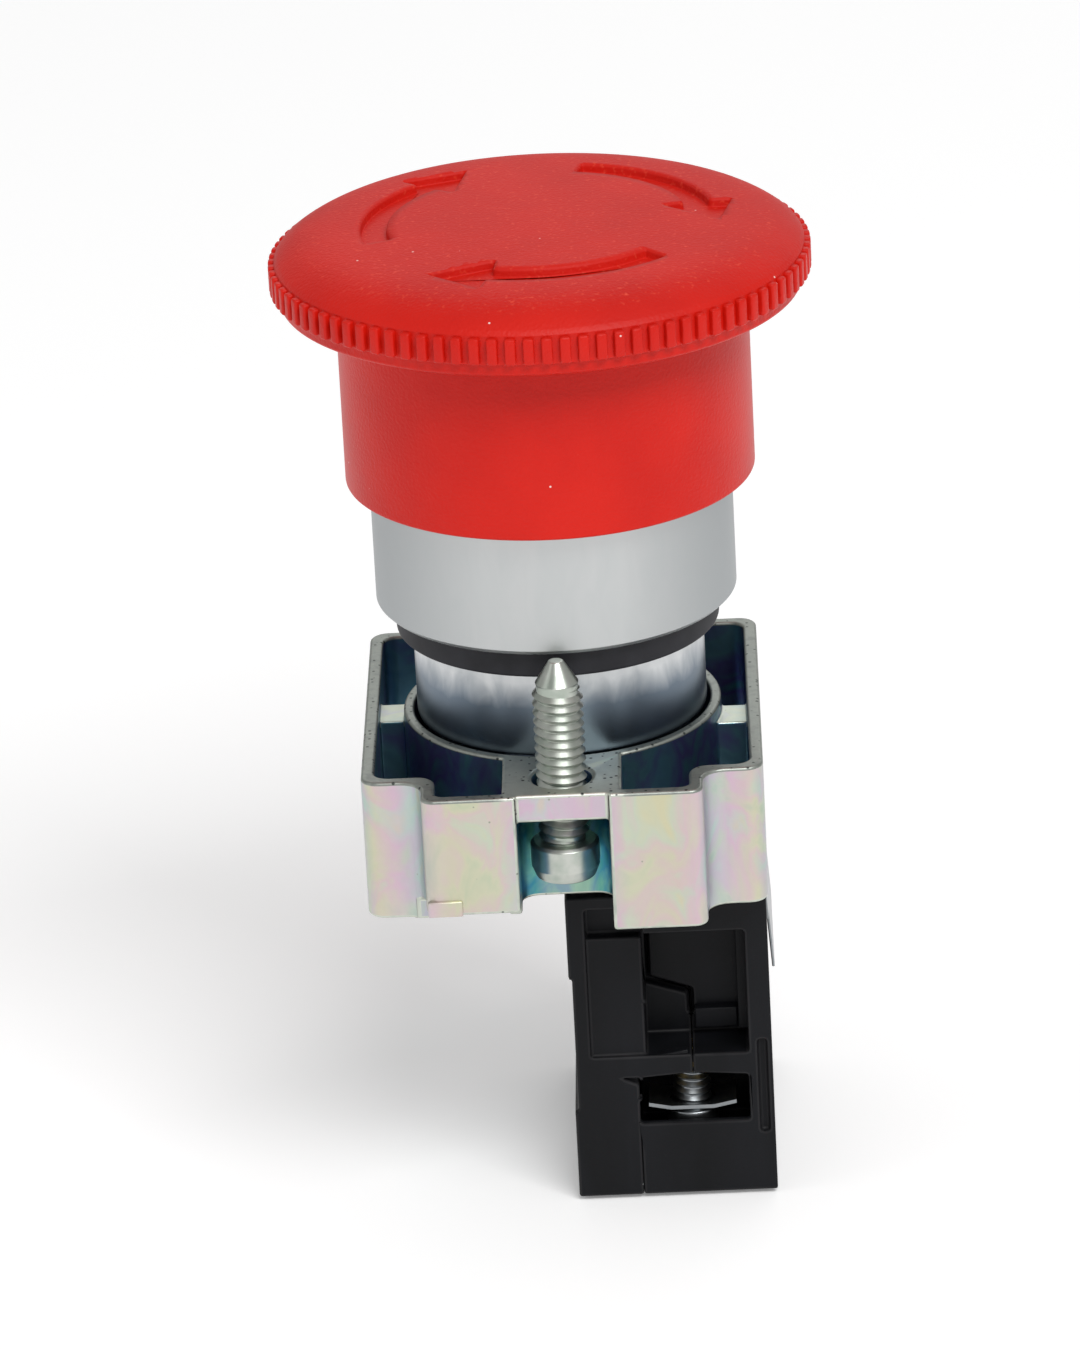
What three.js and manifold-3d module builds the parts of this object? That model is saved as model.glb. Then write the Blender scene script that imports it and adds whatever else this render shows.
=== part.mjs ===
// Twist-to-release mushroom push button for a 22 mm panel hole, with its collar and one contact block.
// Millimetres, +Z up the button's axis towards the operator. The origin is on that axis, in the plane where
// the gasket's underside meets the panel. The collar and the contact block hang below it.
import * as THREE from 'three';
import { mergeVertices } from 'three/addons/utils/BufferGeometryUtils.js';
import Module from 'manifold-3d';

const wasm = await Module();
wasm.setup();

// Fits
const gap = 0.3; // round clearance between neighbours
const seat = 0.15; // clearance between stacked faces
const fine = 48; // segments round a large turned piece
const coarse = 20; // segments round a small one

// Head
const capR = 20;
const capTop = 31.7;
const capRimTop = 29.2;
const capRimBottom = 27.2;
const skirtR = 15.25;
const skirtBore = 14;
const skirtBottom = 12;
const capCeiling = 28.3;
const hubR = 4.7;
const hubBottom = 21.3;
const socketTop = 27.8;
const bezelR = 13.5;
const bezelTop = 15;
const gasketR = 12.1;
const gasketTop = 2.15;
const neckR = 10.9;
const neckBottom = -6;
const spigotR = 10.2;
const spigotBore = 9.2;
const spigotBottom = -15.5;

// Stem and latch
const stemR = 3.2;
const stemTop = 27.5;
const stemFlat = 2.7; // half the width across the flats that key the cap
const latchZ = 5;
const latchHubR = 5.4;
const latchHubHalf = 1.8;
const pinR = 1;
const pinTip = 6.1;
const pinHeel = 2.2;
const coneSlope = 0.2; // how far a pin may spread for each millimetre of travel

// Push foot
const footR = 8.9;
const footTop = -8.8;
const footBottom = -11;
const footWeb = -9.6;
const footRecessR = 4.6;
const tailR = 2.6;
const clipGrooveR = 2;

// Collar
const collarTop = -6.6;
const collarBottom = -17.5;
const collarX = 14.85;
const collarY = 15;
const lobeY = 18.9;
const lobeIn = 3.4; // a lobe runs from this |x| ...
const lobeOut = 10.35; // ... to this one
const shortLobeBottom = -15.8;
const wall = 1;
const ringBore = 11.15;
const ringR = 11.95;
const bridgeBottom = -8.75;
const bridgeFront = 18.6;
const pocketBack = 12;
const ribTop = -7.8;
const ribHalf = 1.75;
const ribShift = 1.5;

// Clamp screws
const clampY = 15;
const clampR = 1.9;
const clampHeadR = 2.55;
const clampHeadTop = -11.65;
const clampHeadBottom = -14.4;
const clampConeBase = 0.9;
const clampTip = 2.56;

// Contact block
const blockLeft = -0.35;
const blockRight = 14.65;
const blockY = 12.15;
const blockTop = -17.8;
const blockBottom = -42.4;
const skin = 1.45;
const blockX = (blockLeft + blockRight) / 2;
const endCavity = { left: 5.2, right: 12.9, top: -20.9, bottom: -30.9, depth: 4.3 };
const sidePanel = { left: 1.05, top: -21.25, depth: 0.4, headroomTop: -18.8, headroomDepth: 1.4 };
const mouth = { left: 4.55, right: 12.8, top: -32.75, bottom: -36.5 };
const upperRoomY = 6.9;
const lowerRoomY = 5.7;
const upperRoomBottom = -31;
const terminalX = 8.5;
const terminalY = 9.2;
const partingX = 8.65;
const terminalRoom = { left: 3.6, right: 13.2, near: 6.3, far: 11.4, top: -31.5, bottom: -38.4 };
const platesTop = -31.7;
const platesBottom = -32.5;
const armTop = -26;
const armBottom = -26.8;

const materials = {
  redCap: finish(0xc8321f, 0.42, 0),
  castZinc: finish(0xbec1c3, 0.32, 0.9),
  passivatedZinc: finish(0xb9c2ac, 0.35, 0.9),
  steel: finish(0xc9cdcf, 0.25, 1),
  springSteel: finish(0x9a9da0, 0.3, 1),
  blackRubber: finish(0x2d2d30, 0.8, 0),
  blackNylon: finish(0x212225, 0.6, 0),
  whiteNylon: finish(0xd9d6cc, 0.5, 0),
  brass: finish(0xc2a25a, 0.3, 1),
  copper: finish(0xb87a55, 0.3, 1),
  silver: finish(0xd9d9dc, 0.2, 1),
};

function finish(color, roughness, metalness) {
  return new THREE.MeshStandardMaterial({ color, roughness, metalness });
}

// ---- solids ----

// A closed geometry as a manifold solid, turned the right way out.
function solidOf(geometry) {
  const bare = geometry.clone();
  bare.deleteAttribute('normal');
  bare.deleteAttribute('uv');
  const merged = mergeVertices(bare, 1e-4);
  const triVerts = new Uint32Array(merged.index.array);
  const vertProperties = new Float32Array(merged.attributes.position.array);
  const solid = new wasm.Manifold(new wasm.Mesh({ numProp: 3, vertProperties, triVerts }));
  if (solid.volume() > 0) return solid;
  for (let i = 0; i < triVerts.length; i += 3) {
    [triVerts[i + 1], triVerts[i + 2]] = [triVerts[i + 2], triVerts[i + 1]];
  }
  return new wasm.Manifold(new wasm.Mesh({ numProp: 3, vertProperties, triVerts }));
}

function geometryOf(solid) {
  const { vertProperties, triVerts } = solid.getMesh();
  const geometry = new THREE.BufferGeometry();
  geometry.setAttribute('position', new THREE.BufferAttribute(vertProperties, 3));
  geometry.setIndex(new THREE.BufferAttribute(triVerts, 1));
  geometry.computeVertexNormals();
  return geometry;
}

// A profile of [radius, z] points turned round the Z axis.
function turned(profile, segments = fine) {
  const points = profile.map(([r, z]) => new THREE.Vector2(r, z));
  return solidOf(new THREE.LatheGeometry(points, segments).rotateX(Math.PI / 2));
}

function closed(profile) {
  return [...profile, profile[0]];
}

function rod(r, z0, z1, x = 0, y = 0, segments = coarse) {
  return turned([[0, z0], [r, z0], [r, z1], [0, z1]], segments).translate([x, y, 0]);
}

function box(x0, x1, y0, y1, z0, z1) {
  const geometry = new THREE.BoxGeometry(x1 - x0, y1 - y0, z1 - z0);
  return solidOf(geometry.translate((x0 + x1) / 2, (y0 + y1) / 2, (z0 + z1) / 2));
}

// A closed outline of [x, y, corner radius] points; a corner with no radius stays sharp.
function outline(corners) {
  const shape = new THREE.Shape();
  const at = corners.map(([x, y]) => new THREE.Vector2(x, y));
  corners.forEach(([, , radius = 0], i) => {
    const before = at[(i + at.length - 1) % at.length];
    const after = at[(i + 1) % at.length];
    const start = at[i].clone().add(before.clone().sub(at[i]).setLength(radius));
    const end = at[i].clone().add(after.clone().sub(at[i]).setLength(radius));
    if (i === 0) shape.moveTo(start.x, start.y);
    else shape.lineTo(start.x, start.y);
    if (radius > 0) shape.quadraticCurveTo(at[i].x, at[i].y, end.x, end.y);
  });
  return shape;
}

// An outline in the XY plane, from z0 up to z1.
function prism(corners, z0, z1) {
  const settings = { depth: z1 - z0, bevelEnabled: false, curveSegments: 4 };
  return solidOf(new THREE.ExtrudeGeometry(outline(corners), settings).translate(0, 0, z0));
}

// An outline in the XZ plane, from y0 to y1.
function prismAlongY(corners, y0, y1) {
  const settings = { depth: y1 - y0, bevelEnabled: false, curveSegments: 4 };
  const geometry = new THREE.ExtrudeGeometry(outline(corners), settings);
  return solidOf(geometry.rotateX(Math.PI / 2).translate(0, y1, 0));
}

// An outline in the YZ plane, from x0 to x1.
function prismAlongX(corners, x0, x1) {
  const settings = { depth: x1 - x0, bevelEnabled: false, curveSegments: 4 };
  const geometry = new THREE.ExtrudeGeometry(outline(corners), settings);
  return solidOf(geometry.rotateX(Math.PI / 2).rotateZ(Math.PI / 2).translate(x0, 0, 0));
}

function joined(...solids) {
  return solids.reduce((sum, solid) => sum.add(solid));
}

function cut(solid, ...tools) {
  return tools.reduce((rest, tool) => rest.subtract(tool), solid);
}

// Both a piece and its copy on the rear side, half a turn round the axis.
function bothSides(solid) {
  return solid.add(solid.rotate([0, 0, 180]));
}

function mirroredInY(solid) {
  return solid.mirror([0, 1, 0]);
}

class Coil extends THREE.Curve {
  constructor(radius, height, turns) {
    super();
    Object.assign(this, { radius, height, turns });
  }

  getPoint(t, target = new THREE.Vector3()) {
    const angle = 2 * Math.PI * this.turns * t;
    const x = this.radius * Math.cos(angle);
    return target.set(x, this.radius * Math.sin(angle), this.height * t);
  }
}

// A helical spring whose wire runs from z = 0 up to the given height.
function spring(radius, wire, height, turns, stepsPerTurn = 12) {
  const section = new THREE.Shape();
  const sides = 6;
  for (let i = 0; i < sides; i += 1) {
    const angle = (2 * Math.PI * i) / sides;
    const x = (wire / 2) * Math.cos(angle);
    const y = (wire / 2) * Math.sin(angle);
    if (i === 0) section.moveTo(x, y);
    else section.lineTo(x, y);
  }
  const extrudePath = new Coil(radius, height - wire, turns);
  const steps = Math.round(turns * stepsPerTurn);
  return new THREE.ExtrudeGeometry(section, { steps, extrudePath }).translate(0, 0, wire / 2);
}

// ---- the assembly ----

const button = new THREE.Group();

function add(name, shape, material, parent = button) {
  const geometry = shape.isBufferGeometry ? shape : geometryOf(shape);
  const mesh = new THREE.Mesh(geometry, material);
  mesh.name = name;
  parent.add(mesh);
  return mesh;
}

// Red moulding: domed head with a rim, a skirt that slides over the bezel and a hub for the stem.
function mushroomCap() {
  const body = turned([
    [0, capTop], [10, capTop - 0.18], [14, capTop - 0.37], [16.6, capTop - 0.65], [18.4, 30.5],
    [19.3, 29.8], [capR, capRimTop], [capR, capRimBottom], [19.3, capRimBottom], [19.3, 26.3],
    [18.6, 26], [skirtR, 25.7], [skirtR, skirtBottom], [skirtBore, skirtBottom],
    [skirtBore, capCeiling], [hubR, capCeiling], [hubR, hubBottom], [0, hubBottom],
  ]);
  const socketR = stemR + gap;
  const socketFlat = stemFlat + gap;
  const key = box(-socketFlat, socketFlat, -socketR, socketR, hubBottom - 1, socketTop);
  const socket = rod(socketR, hubBottom - 1, socketTop).intersect(key);
  const arrows = [0, 1, 2].map((i) => arrow().rotate([0, 0, -120 * i]));
  return cut(body, socket, ...arrows);
}

// One turn arrow, clockwise seen from above, as a cutter for the recess in the head.
function arrow() {
  const floor = capTop - 0.85;
  const inner = 11.1;
  const outer = 13.05;
  const tail = -45.5;
  const neck = 16.5;
  const tip = 35.8;
  const barbOut = 14.7;
  const barbIn = 9.5;
  const at = (r, degrees) => {
    const angle = THREE.MathUtils.degToRad(degrees);
    return [-r * Math.sin(angle), -r * Math.cos(angle)];
  };
  const stops = 6;
  const alongShaft = [...Array(stops + 1).keys()].map((i) => tail + ((neck - tail) * i) / stops);
  return prism([
    ...alongShaft.map((degrees) => at(outer, degrees)),
    at(barbOut, neck),
    at(13.4, tip),
    at(barbIn, neck + 2),
    ...alongShaft.reverse().map((degrees) => at(inner, degrees)),
  ], floor, capTop + 1);
}

// Cast bezel, neck and spigot in one, hollow for the stem, its latch and the push foot.
function headBody() {
  const guideR = stemR + 0.4;
  const cone = (z) => 6.5 + coneSlope * (latchZ - z);
  const body = turned(closed([
    [5.4, bezelTop], [bezelR - 0.4, bezelTop], [bezelR, bezelTop - 0.4], [bezelR, gasketTop + seat],
    [neckR, gasketTop + seat], [neckR, neckBottom], [spigotR, neckBottom - 0.7],
    [spigotR, spigotBottom], [spigotBore, spigotBottom], [spigotBore, -2.5], [cone(-2), -2],
    [cone(6.8), 6.8], [cone(6.8), 12.2], [guideR, 12.2], [guideR, 13.4], [5.4, 13.4],
  ]));
  const lug = prism(arcBand(spigotR - 0.3, ringBore - gap, -25, 25), -13.7, -12.2);
  const key = box(-1, 1, -spigotBore - 0.3, -spigotBore + 1, spigotBottom + 0.3, -3);
  return joined(body, bothSides(lug), bothSides(key));
}

// An arc-shaped band between two radii and two angles in degrees, measured from +X.
function arcBand(inner, outer, from, to) {
  const stops = 8;
  const angles = [...Array(stops + 1).keys()].map((i) => from + ((to - from) * i) / stops);
  const at = (r, degrees) => {
    const angle = THREE.MathUtils.degToRad(degrees);
    return [r * Math.cos(angle), r * Math.sin(angle)];
  };
  const outside = angles.map((degrees) => at(outer, degrees));
  const inside = angles.reverse().map((degrees) => at(inner, degrees));
  return [...outside, ...inside];
}

function ring(inner, outer, z0, z1, segments = fine) {
  return turned(closed([[inner, z0], [outer, z0], [outer, z1], [inner, z1]]), segments);
}

// Stem: keyed top for the cap, latch hub with a cross bore, tail with a groove for the foot's clip.
function stem() {
  const body = turned([
    [0, footBottom], [tailR, footBottom], [tailR, -10.8], [clipGrooveR, -10.8],
    [clipGrooveR, footWeb], [tailR, footWeb], [tailR, footTop + gap], [stemR, footTop + gap],
    [stemR, latchZ - latchHubHalf], [latchHubR, latchZ - latchHubHalf],
    [latchHubR, latchZ + latchHubHalf], [stemR, latchZ + latchHubHalf], [stemR, stemTop],
    [0, stemTop],
  ], 32);
  const flat = box(stemFlat, 6, -6, 6, hubBottom - 1, stemTop + 1);
  const crossBore = rod(pinR + 0.2, -7, 7).rotate([0, 90, 0]).translate([0, 0, latchZ]);
  return cut(body, bothSides(flat), crossBore);
}

// Latch pin along +X with a rounded tip.
function latchPin() {
  const tip = [[pinR, pinTip - 0.6], [pinR * 0.85, pinTip - 0.25], [pinR * 0.5, pinTip], [0, pinTip]];
  return turned([[0, pinHeel], [pinR, pinHeel], ...tip], coarse).rotate([0, 90, 0]);
}

// Round foot under the stem, notched for the spigot's keys so that it slides but never turns.
function pushFoot() {
  const tailHole = tailR + gap;
  const body = turned(closed([
    [tailHole, footTop], [footR, footTop], [footR, footBottom], [footRecessR, footBottom],
    [footRecessR, footWeb], [tailHole, footWeb],
  ]));
  const notchFloor = spigotBore - 1.4;
  const notch = box(-1.4, 1.4, -footR - 1, -notchFloor, footBottom - 1, footTop + 1);
  return cut(body, bothSides(notch));
}

// Open snap ring in the stem's groove.
function footClip() {
  const body = ring(clipGrooveR + gap, 4, -10.5, -9.9, 32);
  return cut(body, box(-1.3, 1.3, -5, 0, -11, -9));
}

// Die-cast collar: a thin outer wall with two pairs of lobes, a ring round the neck, two ribs and,
// in front and behind, a tapped bridge over a pocket for a clamp screw. Half a turn maps it onto itself.
function mountingCollar() {
  const outside = mirrorCorners([[lobeOut, -lobeY, 1.2], [lobeOut, -collarY, 1.8], [collarX, -collarY, 1.5]]);
  const inside = mirrorCorners([
    [lobeOut - wall, -lobeY + wall, 0.8],
    [lobeOut - wall, -collarY + wall, 1.5],
    [collarX - wall, -collarY + wall, 1.2],
  ]);
  const low = collarBottom - 1;
  const high = collarTop + 1;
  const disc = rod(ringR, low, high, 0, 0, fine);
  const bridge = box(-lobeIn - wall, lobeIn + wall, -lobeY, -10, low, high);
  const rib = box(0, collarX, -ribShift - ribHalf, -ribShift + ribHalf, low, ribTop);
  const hollow = cut(prism(inside, low, high), disc, bothSides(bridge), bothSides(rib));
  const body = cut(prism(outside, collarBottom, collarTop), hollow, rod(ringBore, low, high, 0, 0, fine));

  const pocket = box(-lobeIn, lobeIn, -lobeY - 1, -pocketBack, low, bridgeBottom);
  const bridgeFace = box(-lobeIn, lobeIn, -lobeY - 1, -bridgeFront, low, high);
  const tapped = rod(clampR + gap, bridgeBottom - 1, high, 0, -clampY);
  const countersink = turned([[0, collarTop - 0.6], [2, collarTop - 0.6], [3, high], [0, high]], coarse);
  const archR = 13;
  const arch = rod(archR, -20, 0).rotate([90, 0, 0]).translate([0, -20, collarBottom + 0.6 - archR]);
  const shortLobe = box(-lobeOut - 1, -lobeIn, -lobeY - 1, -collarY - 0.3, low, shortLobeBottom);
  const shapes = [pocket, bridgeFace, tapped, countersink.translate([0, -clampY, 0])];
  const ledge = prism(arcBand(spigotR + 0.3, ringBore + 0.3, -25, 25), -11.9, -10.5);
  const pad = box(-10.2, -7.65, -lobeY - 0.25, -lobeY + 0.2, shortLobeBottom, -14.6);
  const trimmed = cut(body, ...[...shapes, arch.intersect(box(-3.7, 3.7, -19, -11, low, high)), shortLobe]
    .map(bothSides));
  return joined(trimmed, bothSides(ledge), bothSides(pad));
}

// Corners of the front right quarter, from the lobe to the side, carried round to all four quarters.
function mirrorCorners(quarter) {
  const back = [...quarter].reverse().map(([x, y, radius]) => [x, -y, radius]);
  const right = [...quarter, ...back];
  const left = [...right].reverse().map(([x, y, radius]) => [-x, y, radius]);
  return [...right, ...left];
}

// Pointed set screw of the collar, its slotted head below.
function clampScrew() {
  const body = turned([
    [0, clampTip], [0.53, clampTip], [1.6, clampConeBase], [clampR, clampConeBase - 0.3],
    [clampR, clampHeadTop], [clampHeadR, clampHeadTop - 0.15], [clampHeadR, clampHeadBottom + 0.9],
    [2.2, clampHeadBottom], [0, clampHeadBottom],
  ], 24);
  return cut(body, box(-4, 4, -0.4, 0.4, clampHeadBottom - 1, clampHeadBottom + 1.2));
}

// The contact block's two mouldings as one body, before it is parted.
function blockBody() {
  const roomLeft = blockLeft + skin;
  const roomRight = blockRight - skin;
  const body = box(blockLeft, blockRight, -blockY, blockY, blockBottom, blockTop);
  const upperRoom = box(roomLeft, roomRight, -upperRoomY, upperRoomY, upperRoomBottom, blockTop - 1.5);
  const lowerRoom = box(roomLeft, roomRight, -lowerRoomY, lowerRoomY, blockBottom + 1.5, -30);
  const plungerHole = rod(1.9, blockTop - 2, blockTop + 1, blockX);
  const clipRebate = box(10.9, blockRight + 1, -9.3, 9.3, blockTop - 0.85, blockTop + 1);
  const clipRecess = box(14.15, blockRight + 1, -9.3, 9.3, blockTop - 8.9, blockTop + 1);
  return cut(body, upperRoom, lowerRoom, plungerHole, clipRebate, clipRecess, endDetail(),
    mirroredInY(endDetail()));
}

// What is cut from the block's front end: the deep cavity, its shallow side panel with a deeper headroom,
// the wire mouth, the terminal's room, the slot for the contact strip and the way in for a screwdriver.
function endDetail() {
  const face = -blockY;
  const out = face - 1;
  const { left, right, top, bottom, depth } = endCavity;
  const room = terminalRoom;
  return joined(
    box(left, right, out, face + depth, bottom, top),
    box(sidePanel.left, left + 0.1, out, face + sidePanel.depth, bottom, sidePanel.top + 0.1),
    box(sidePanel.left, left + 0.1, out, face + sidePanel.headroomDepth, sidePanel.top, sidePanel.headroomTop),
    box(mouth.left, mouth.right, out, -room.far + 0.1, mouth.bottom, mouth.top),
    box(room.left, room.right, -room.far, -room.near, room.bottom, room.top),
    box(4.9, 9.5, -room.near - 0.1, -lowerRoomY + 0.1, platesBottom - gap, room.top),
    rod(1.75, room.top - 0.1, bottom - 0.15, terminalX, -terminalY),
    rod(2.5, blockBottom - 1, room.bottom + 0.1, terminalX, -terminalY),
    box(13.55, 14.25, out, face + 0.5, -37.5, -29.9),
  );
}

// The side of the stepped parting line that holds the left moulding, or the right one.
function partingHalf(side) {
  const shift = (side * gap) / 2;
  const far = side * 40;
  const high = 0;
  const low = -60;
  return prismAlongY([
    [endCavity.left + shift, high],
    [endCavity.left + shift, -26.5 + shift],
    [partingX + shift, -27.6 + shift],
    [partingX + shift, -34 - shift],
    [mouth.left + shift, -34.6 - shift],
    [mouth.left + shift, low],
    [far, low],
    [far, high],
  ], -20, 20);
}

// Locating pegs on the right moulding that stand in the collar's side pockets.
function collarPegs() {
  const peg = box(12, 13.4, 9.75, 11.6, blockTop - 0.5, -15.6);
  return joined(peg, mirroredInY(peg));
}

// Spring blade: a flat leg in the block's top and a long finger down its side, splayed at the end.
function retainingClip() {
  return prismAlongY([
    [11.2, -18.05], [14.55, -18.05], [14.8, -18.3], [15.12, -26.2], [14.92, -26.2],
    [14.42, -18.4], [11.2, -18.4],
  ], -9, 9);
}

// Plunger: round nose that the push foot meets, a bar through the block's top and a window for the bridge.
function blockPlunger() {
  const nose = rod(1.6, -26, footBottom - gap, blockX);
  const frame = box(blockX - 2.3, blockX + 2.3, -1.4, 1.4, -32.4, -25);
  const window = box(blockX - 1.45, blockX + 1.45, -2, 2, -31.3, -27.9);
  return cut(joined(nose, frame), window);
}

function contactBridge() {
  const half = 4.2;
  return prismAlongX([
    [-half, -28.3], [-half, -28.7], [-1.9, -28.7], [-1.5, -28.9], [1.5, -28.9], [1.9, -28.7],
    [half, -28.7], [half, -28.3], [1.9, -28.3], [1.5, -28.5], [-1.5, -28.5], [-1.9, -28.3],
  ], blockX - 1.15, blockX + 1.15);
}

// Terminal plate, riser and inner arm in one bent strip.
function fixedContact() {
  const strip = prismAlongX([
    [-11, platesTop], [-11, platesBottom], [-4.8, platesBottom], [-4.8, armBottom],
    [-2.4, armBottom], [-2.4, armTop], [-5.5, armTop], [-5.5, platesTop],
  ], blockX - 1.9, blockX + 1.9);
  const plate = box(5.25, 12.2, -11, -6.9, platesBottom, platesTop);
  return cut(joined(strip, plate), rod(1.7, -33, -31, terminalX, -terminalY));
}

function contactTip(z0, z1) {
  return rod(0.8, z0, z1, blockX, -3.2, 16);
}

function terminalScrew() {
  const body = turned([
    [0, -32.1], [1.2, -32.1], [1.45, -32.4], [1.45, -36.2], [2, -36.2], [2, -38.1], [0, -38.1],
  ], coarse);
  const slot = box(-3, 3, -0.3, 0.3, -39, -37.2);
  return cut(body, slot, slot.rotate([0, 0, 90])).translate([terminalX, -terminalY, 0]);
}

// Bowed plate under the terminal that grips the wire.
function clampWasher() {
  const half = 3.3;
  const bar = prismAlongY([
    [-half, -35.25], [-1.6, -35.6], [1.6, -35.6], [half, -35.25], [half, -35.55],
    [1.6, -35.9], [-1.6, -35.9], [-half, -35.55],
  ], -1.9, 1.9);
  return cut(bar, rod(1.75, -37, -33)).translate([terminalX, -terminalY, 0]);
}

add('mushroom_cap', mushroomCap(), materials.redCap);
add('head_body', headBody(), materials.castZinc);
add('panel_gasket', ring(neckR + 0.2, gasketR, 0, gasketTop), materials.blackRubber);
add('stem', stem(), materials.whiteNylon);
add('stem_seal', ring(stemR + 0.25, 5.2, 13.55, 14.9, 32), materials.blackRubber);
add('push_foot', pushFoot(), materials.blackNylon);
add('foot_clip', footClip(), materials.springSteel);
add('mounting_collar', mountingCollar(), materials.passivatedZinc);

const returnSpring = add('return_spring', spring(6.2, 0.9, 12.7, 5.5), materials.springSteel);
returnSpring.position.z = bezelTop + 0.2;

// Latch: two pins pushed apart by a spring in the stem's cross bore.
const latch = new THREE.Group();
latch.position.z = latchZ;
button.add(latch);
add('latch_pin_right', latchPin(), materials.steel, latch);
const leftPin = add('latch_pin_left', latchPin(), materials.steel, latch);
leftPin.rotation.z = Math.PI;
const latchSpring = add('latch_spring', spring(0.7, 0.3, 3.8, 5, 10), materials.springSteel, latch);
latchSpring.rotation.y = Math.PI / 2;
latchSpring.position.x = -1.9;

for (const [place, sign] of [['front', -1], ['rear', 1]]) {
  const screw = add(`clamp_screw_${place}`, clampScrew(), materials.steel);
  screw.position.y = sign * clampY;
}

add('block_shell_left', blockBody().intersect(partingHalf(-1)), materials.blackNylon);
add('block_shell_right', blockBody().intersect(partingHalf(1)).add(collarPegs()), materials.blackNylon);
add('retaining_clip', retainingClip(), materials.springSteel);
add('block_plunger', blockPlunger(), materials.whiteNylon);
add('contact_bridge', contactBridge(), materials.copper);
const bridgeSpring = add('contact_spring', spring(0.9, 0.3, 2.1, 4, 10), materials.springSteel);
bridgeSpring.position.set(blockX, 0, -31.15);
const plungerSpring = add('plunger_spring', spring(1.3, 0.4, 8, 6, 10), materials.springSteel);
plungerSpring.position.set(blockX, 0, -40.6);

// The terminal set at each end of the block; the rear one mirrors the front one.
for (const [place, atEnd] of [['front', (solid) => solid], ['rear', mirroredInY]]) {
  add(`fixed_contact_${place}`, atEnd(fixedContact()), materials.brass);
  add(`fixed_tip_${place}`, atEnd(contactTip(-27.4, armBottom - 0.02)), materials.silver);
  add(`bridge_tip_${place}`, atEnd(contactTip(-28.28, -27.7)), materials.silver);
  add(`terminal_screw_${place}`, atEnd(terminalScrew()), materials.steel);
  add(`clamp_washer_${place}`, atEnd(clampWasher()), materials.steel);
}

export default button;
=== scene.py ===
import math

import bmesh
import bpy
from mathutils import Matrix, Vector


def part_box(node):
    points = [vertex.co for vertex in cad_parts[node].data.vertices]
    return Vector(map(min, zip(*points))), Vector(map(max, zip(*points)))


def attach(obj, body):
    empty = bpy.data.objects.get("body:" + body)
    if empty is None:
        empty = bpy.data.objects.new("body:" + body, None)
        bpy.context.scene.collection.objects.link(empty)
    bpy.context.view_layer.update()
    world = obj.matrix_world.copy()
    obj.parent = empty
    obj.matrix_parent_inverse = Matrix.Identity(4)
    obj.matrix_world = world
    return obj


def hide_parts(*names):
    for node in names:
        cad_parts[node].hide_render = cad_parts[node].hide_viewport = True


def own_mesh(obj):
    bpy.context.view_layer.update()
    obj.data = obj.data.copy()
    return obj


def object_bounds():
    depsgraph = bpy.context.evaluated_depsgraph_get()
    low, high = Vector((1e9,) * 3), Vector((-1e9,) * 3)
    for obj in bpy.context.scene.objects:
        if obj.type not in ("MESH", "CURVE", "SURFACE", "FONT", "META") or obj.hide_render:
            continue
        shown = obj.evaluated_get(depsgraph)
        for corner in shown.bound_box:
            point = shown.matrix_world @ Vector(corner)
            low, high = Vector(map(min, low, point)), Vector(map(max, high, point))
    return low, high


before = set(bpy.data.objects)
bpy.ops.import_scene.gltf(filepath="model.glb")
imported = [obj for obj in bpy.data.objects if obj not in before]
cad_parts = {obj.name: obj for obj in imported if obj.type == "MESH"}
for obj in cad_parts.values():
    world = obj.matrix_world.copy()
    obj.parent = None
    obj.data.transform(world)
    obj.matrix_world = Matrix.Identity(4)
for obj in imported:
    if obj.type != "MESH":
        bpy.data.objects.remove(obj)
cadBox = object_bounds()
mm = 0.001  # every size below is in millimetres and becomes metres when a mesh is made
print("frame loaded:", len(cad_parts), "nodes")


# lowest and highest corner of each frame node, in millimetres
nodeBoxes = {node: [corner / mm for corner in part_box(node)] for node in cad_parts}


def addMesh(name, verts, faces):
    mesh = bpy.data.meshes.new(name)
    mesh.from_pydata([[c * mm for c in v] for v in verts], [], faces)
    obj = bpy.data.objects.new(name, mesh)
    bpy.context.scene.collection.objects.link(obj)
    closeMesh(obj)
    return obj


def closeMesh(obj):  # doubles merged, then faces turned outwards
    bm = bmesh.new()
    bm.from_mesh(obj.data)
    bmesh.ops.remove_doubles(bm, verts=bm.verts, dist=0.001 * mm)
    bmesh.ops.recalc_face_normals(bm, faces=bm.faces)
    bm.to_mesh(obj.data)
    bm.free()


def settle(obj):  # modifiers become plain mesh
    evaluated = obj.evaluated_get(bpy.context.evaluated_depsgraph_get())
    shape = bpy.data.meshes.new_from_object(evaluated)
    obj.modifiers.clear()
    obj.data = shape
    return obj


def rounded(corners, steps=5):  # outline of (a, b[, radius]) corners, with true arcs where a radius is given
    points = []
    for i, corner in enumerate(corners):
        at = Vector(corner[:2])
        radius = corner[2] if len(corner) == 3 else 0
        if radius == 0:
            points.append(at)
            continue
        before = (Vector(corners[i - 1][:2]) - at).normalized()
        after = (Vector(corners[(i + 1) % len(corners)][:2]) - at).normalized()
        half = before.angle(after) / 2
        centre = at + (before + after).normalized() * radius / math.sin(half)
        start = at + before * radius / math.tan(half) - centre
        end = at + after * radius / math.tan(half) - centre
        turn = math.atan2(start.cross(end), start.dot(end))
        points += [centre + Matrix.Rotation(turn * k / steps, 2) @ start for k in range(steps + 1)]
    return points


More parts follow.
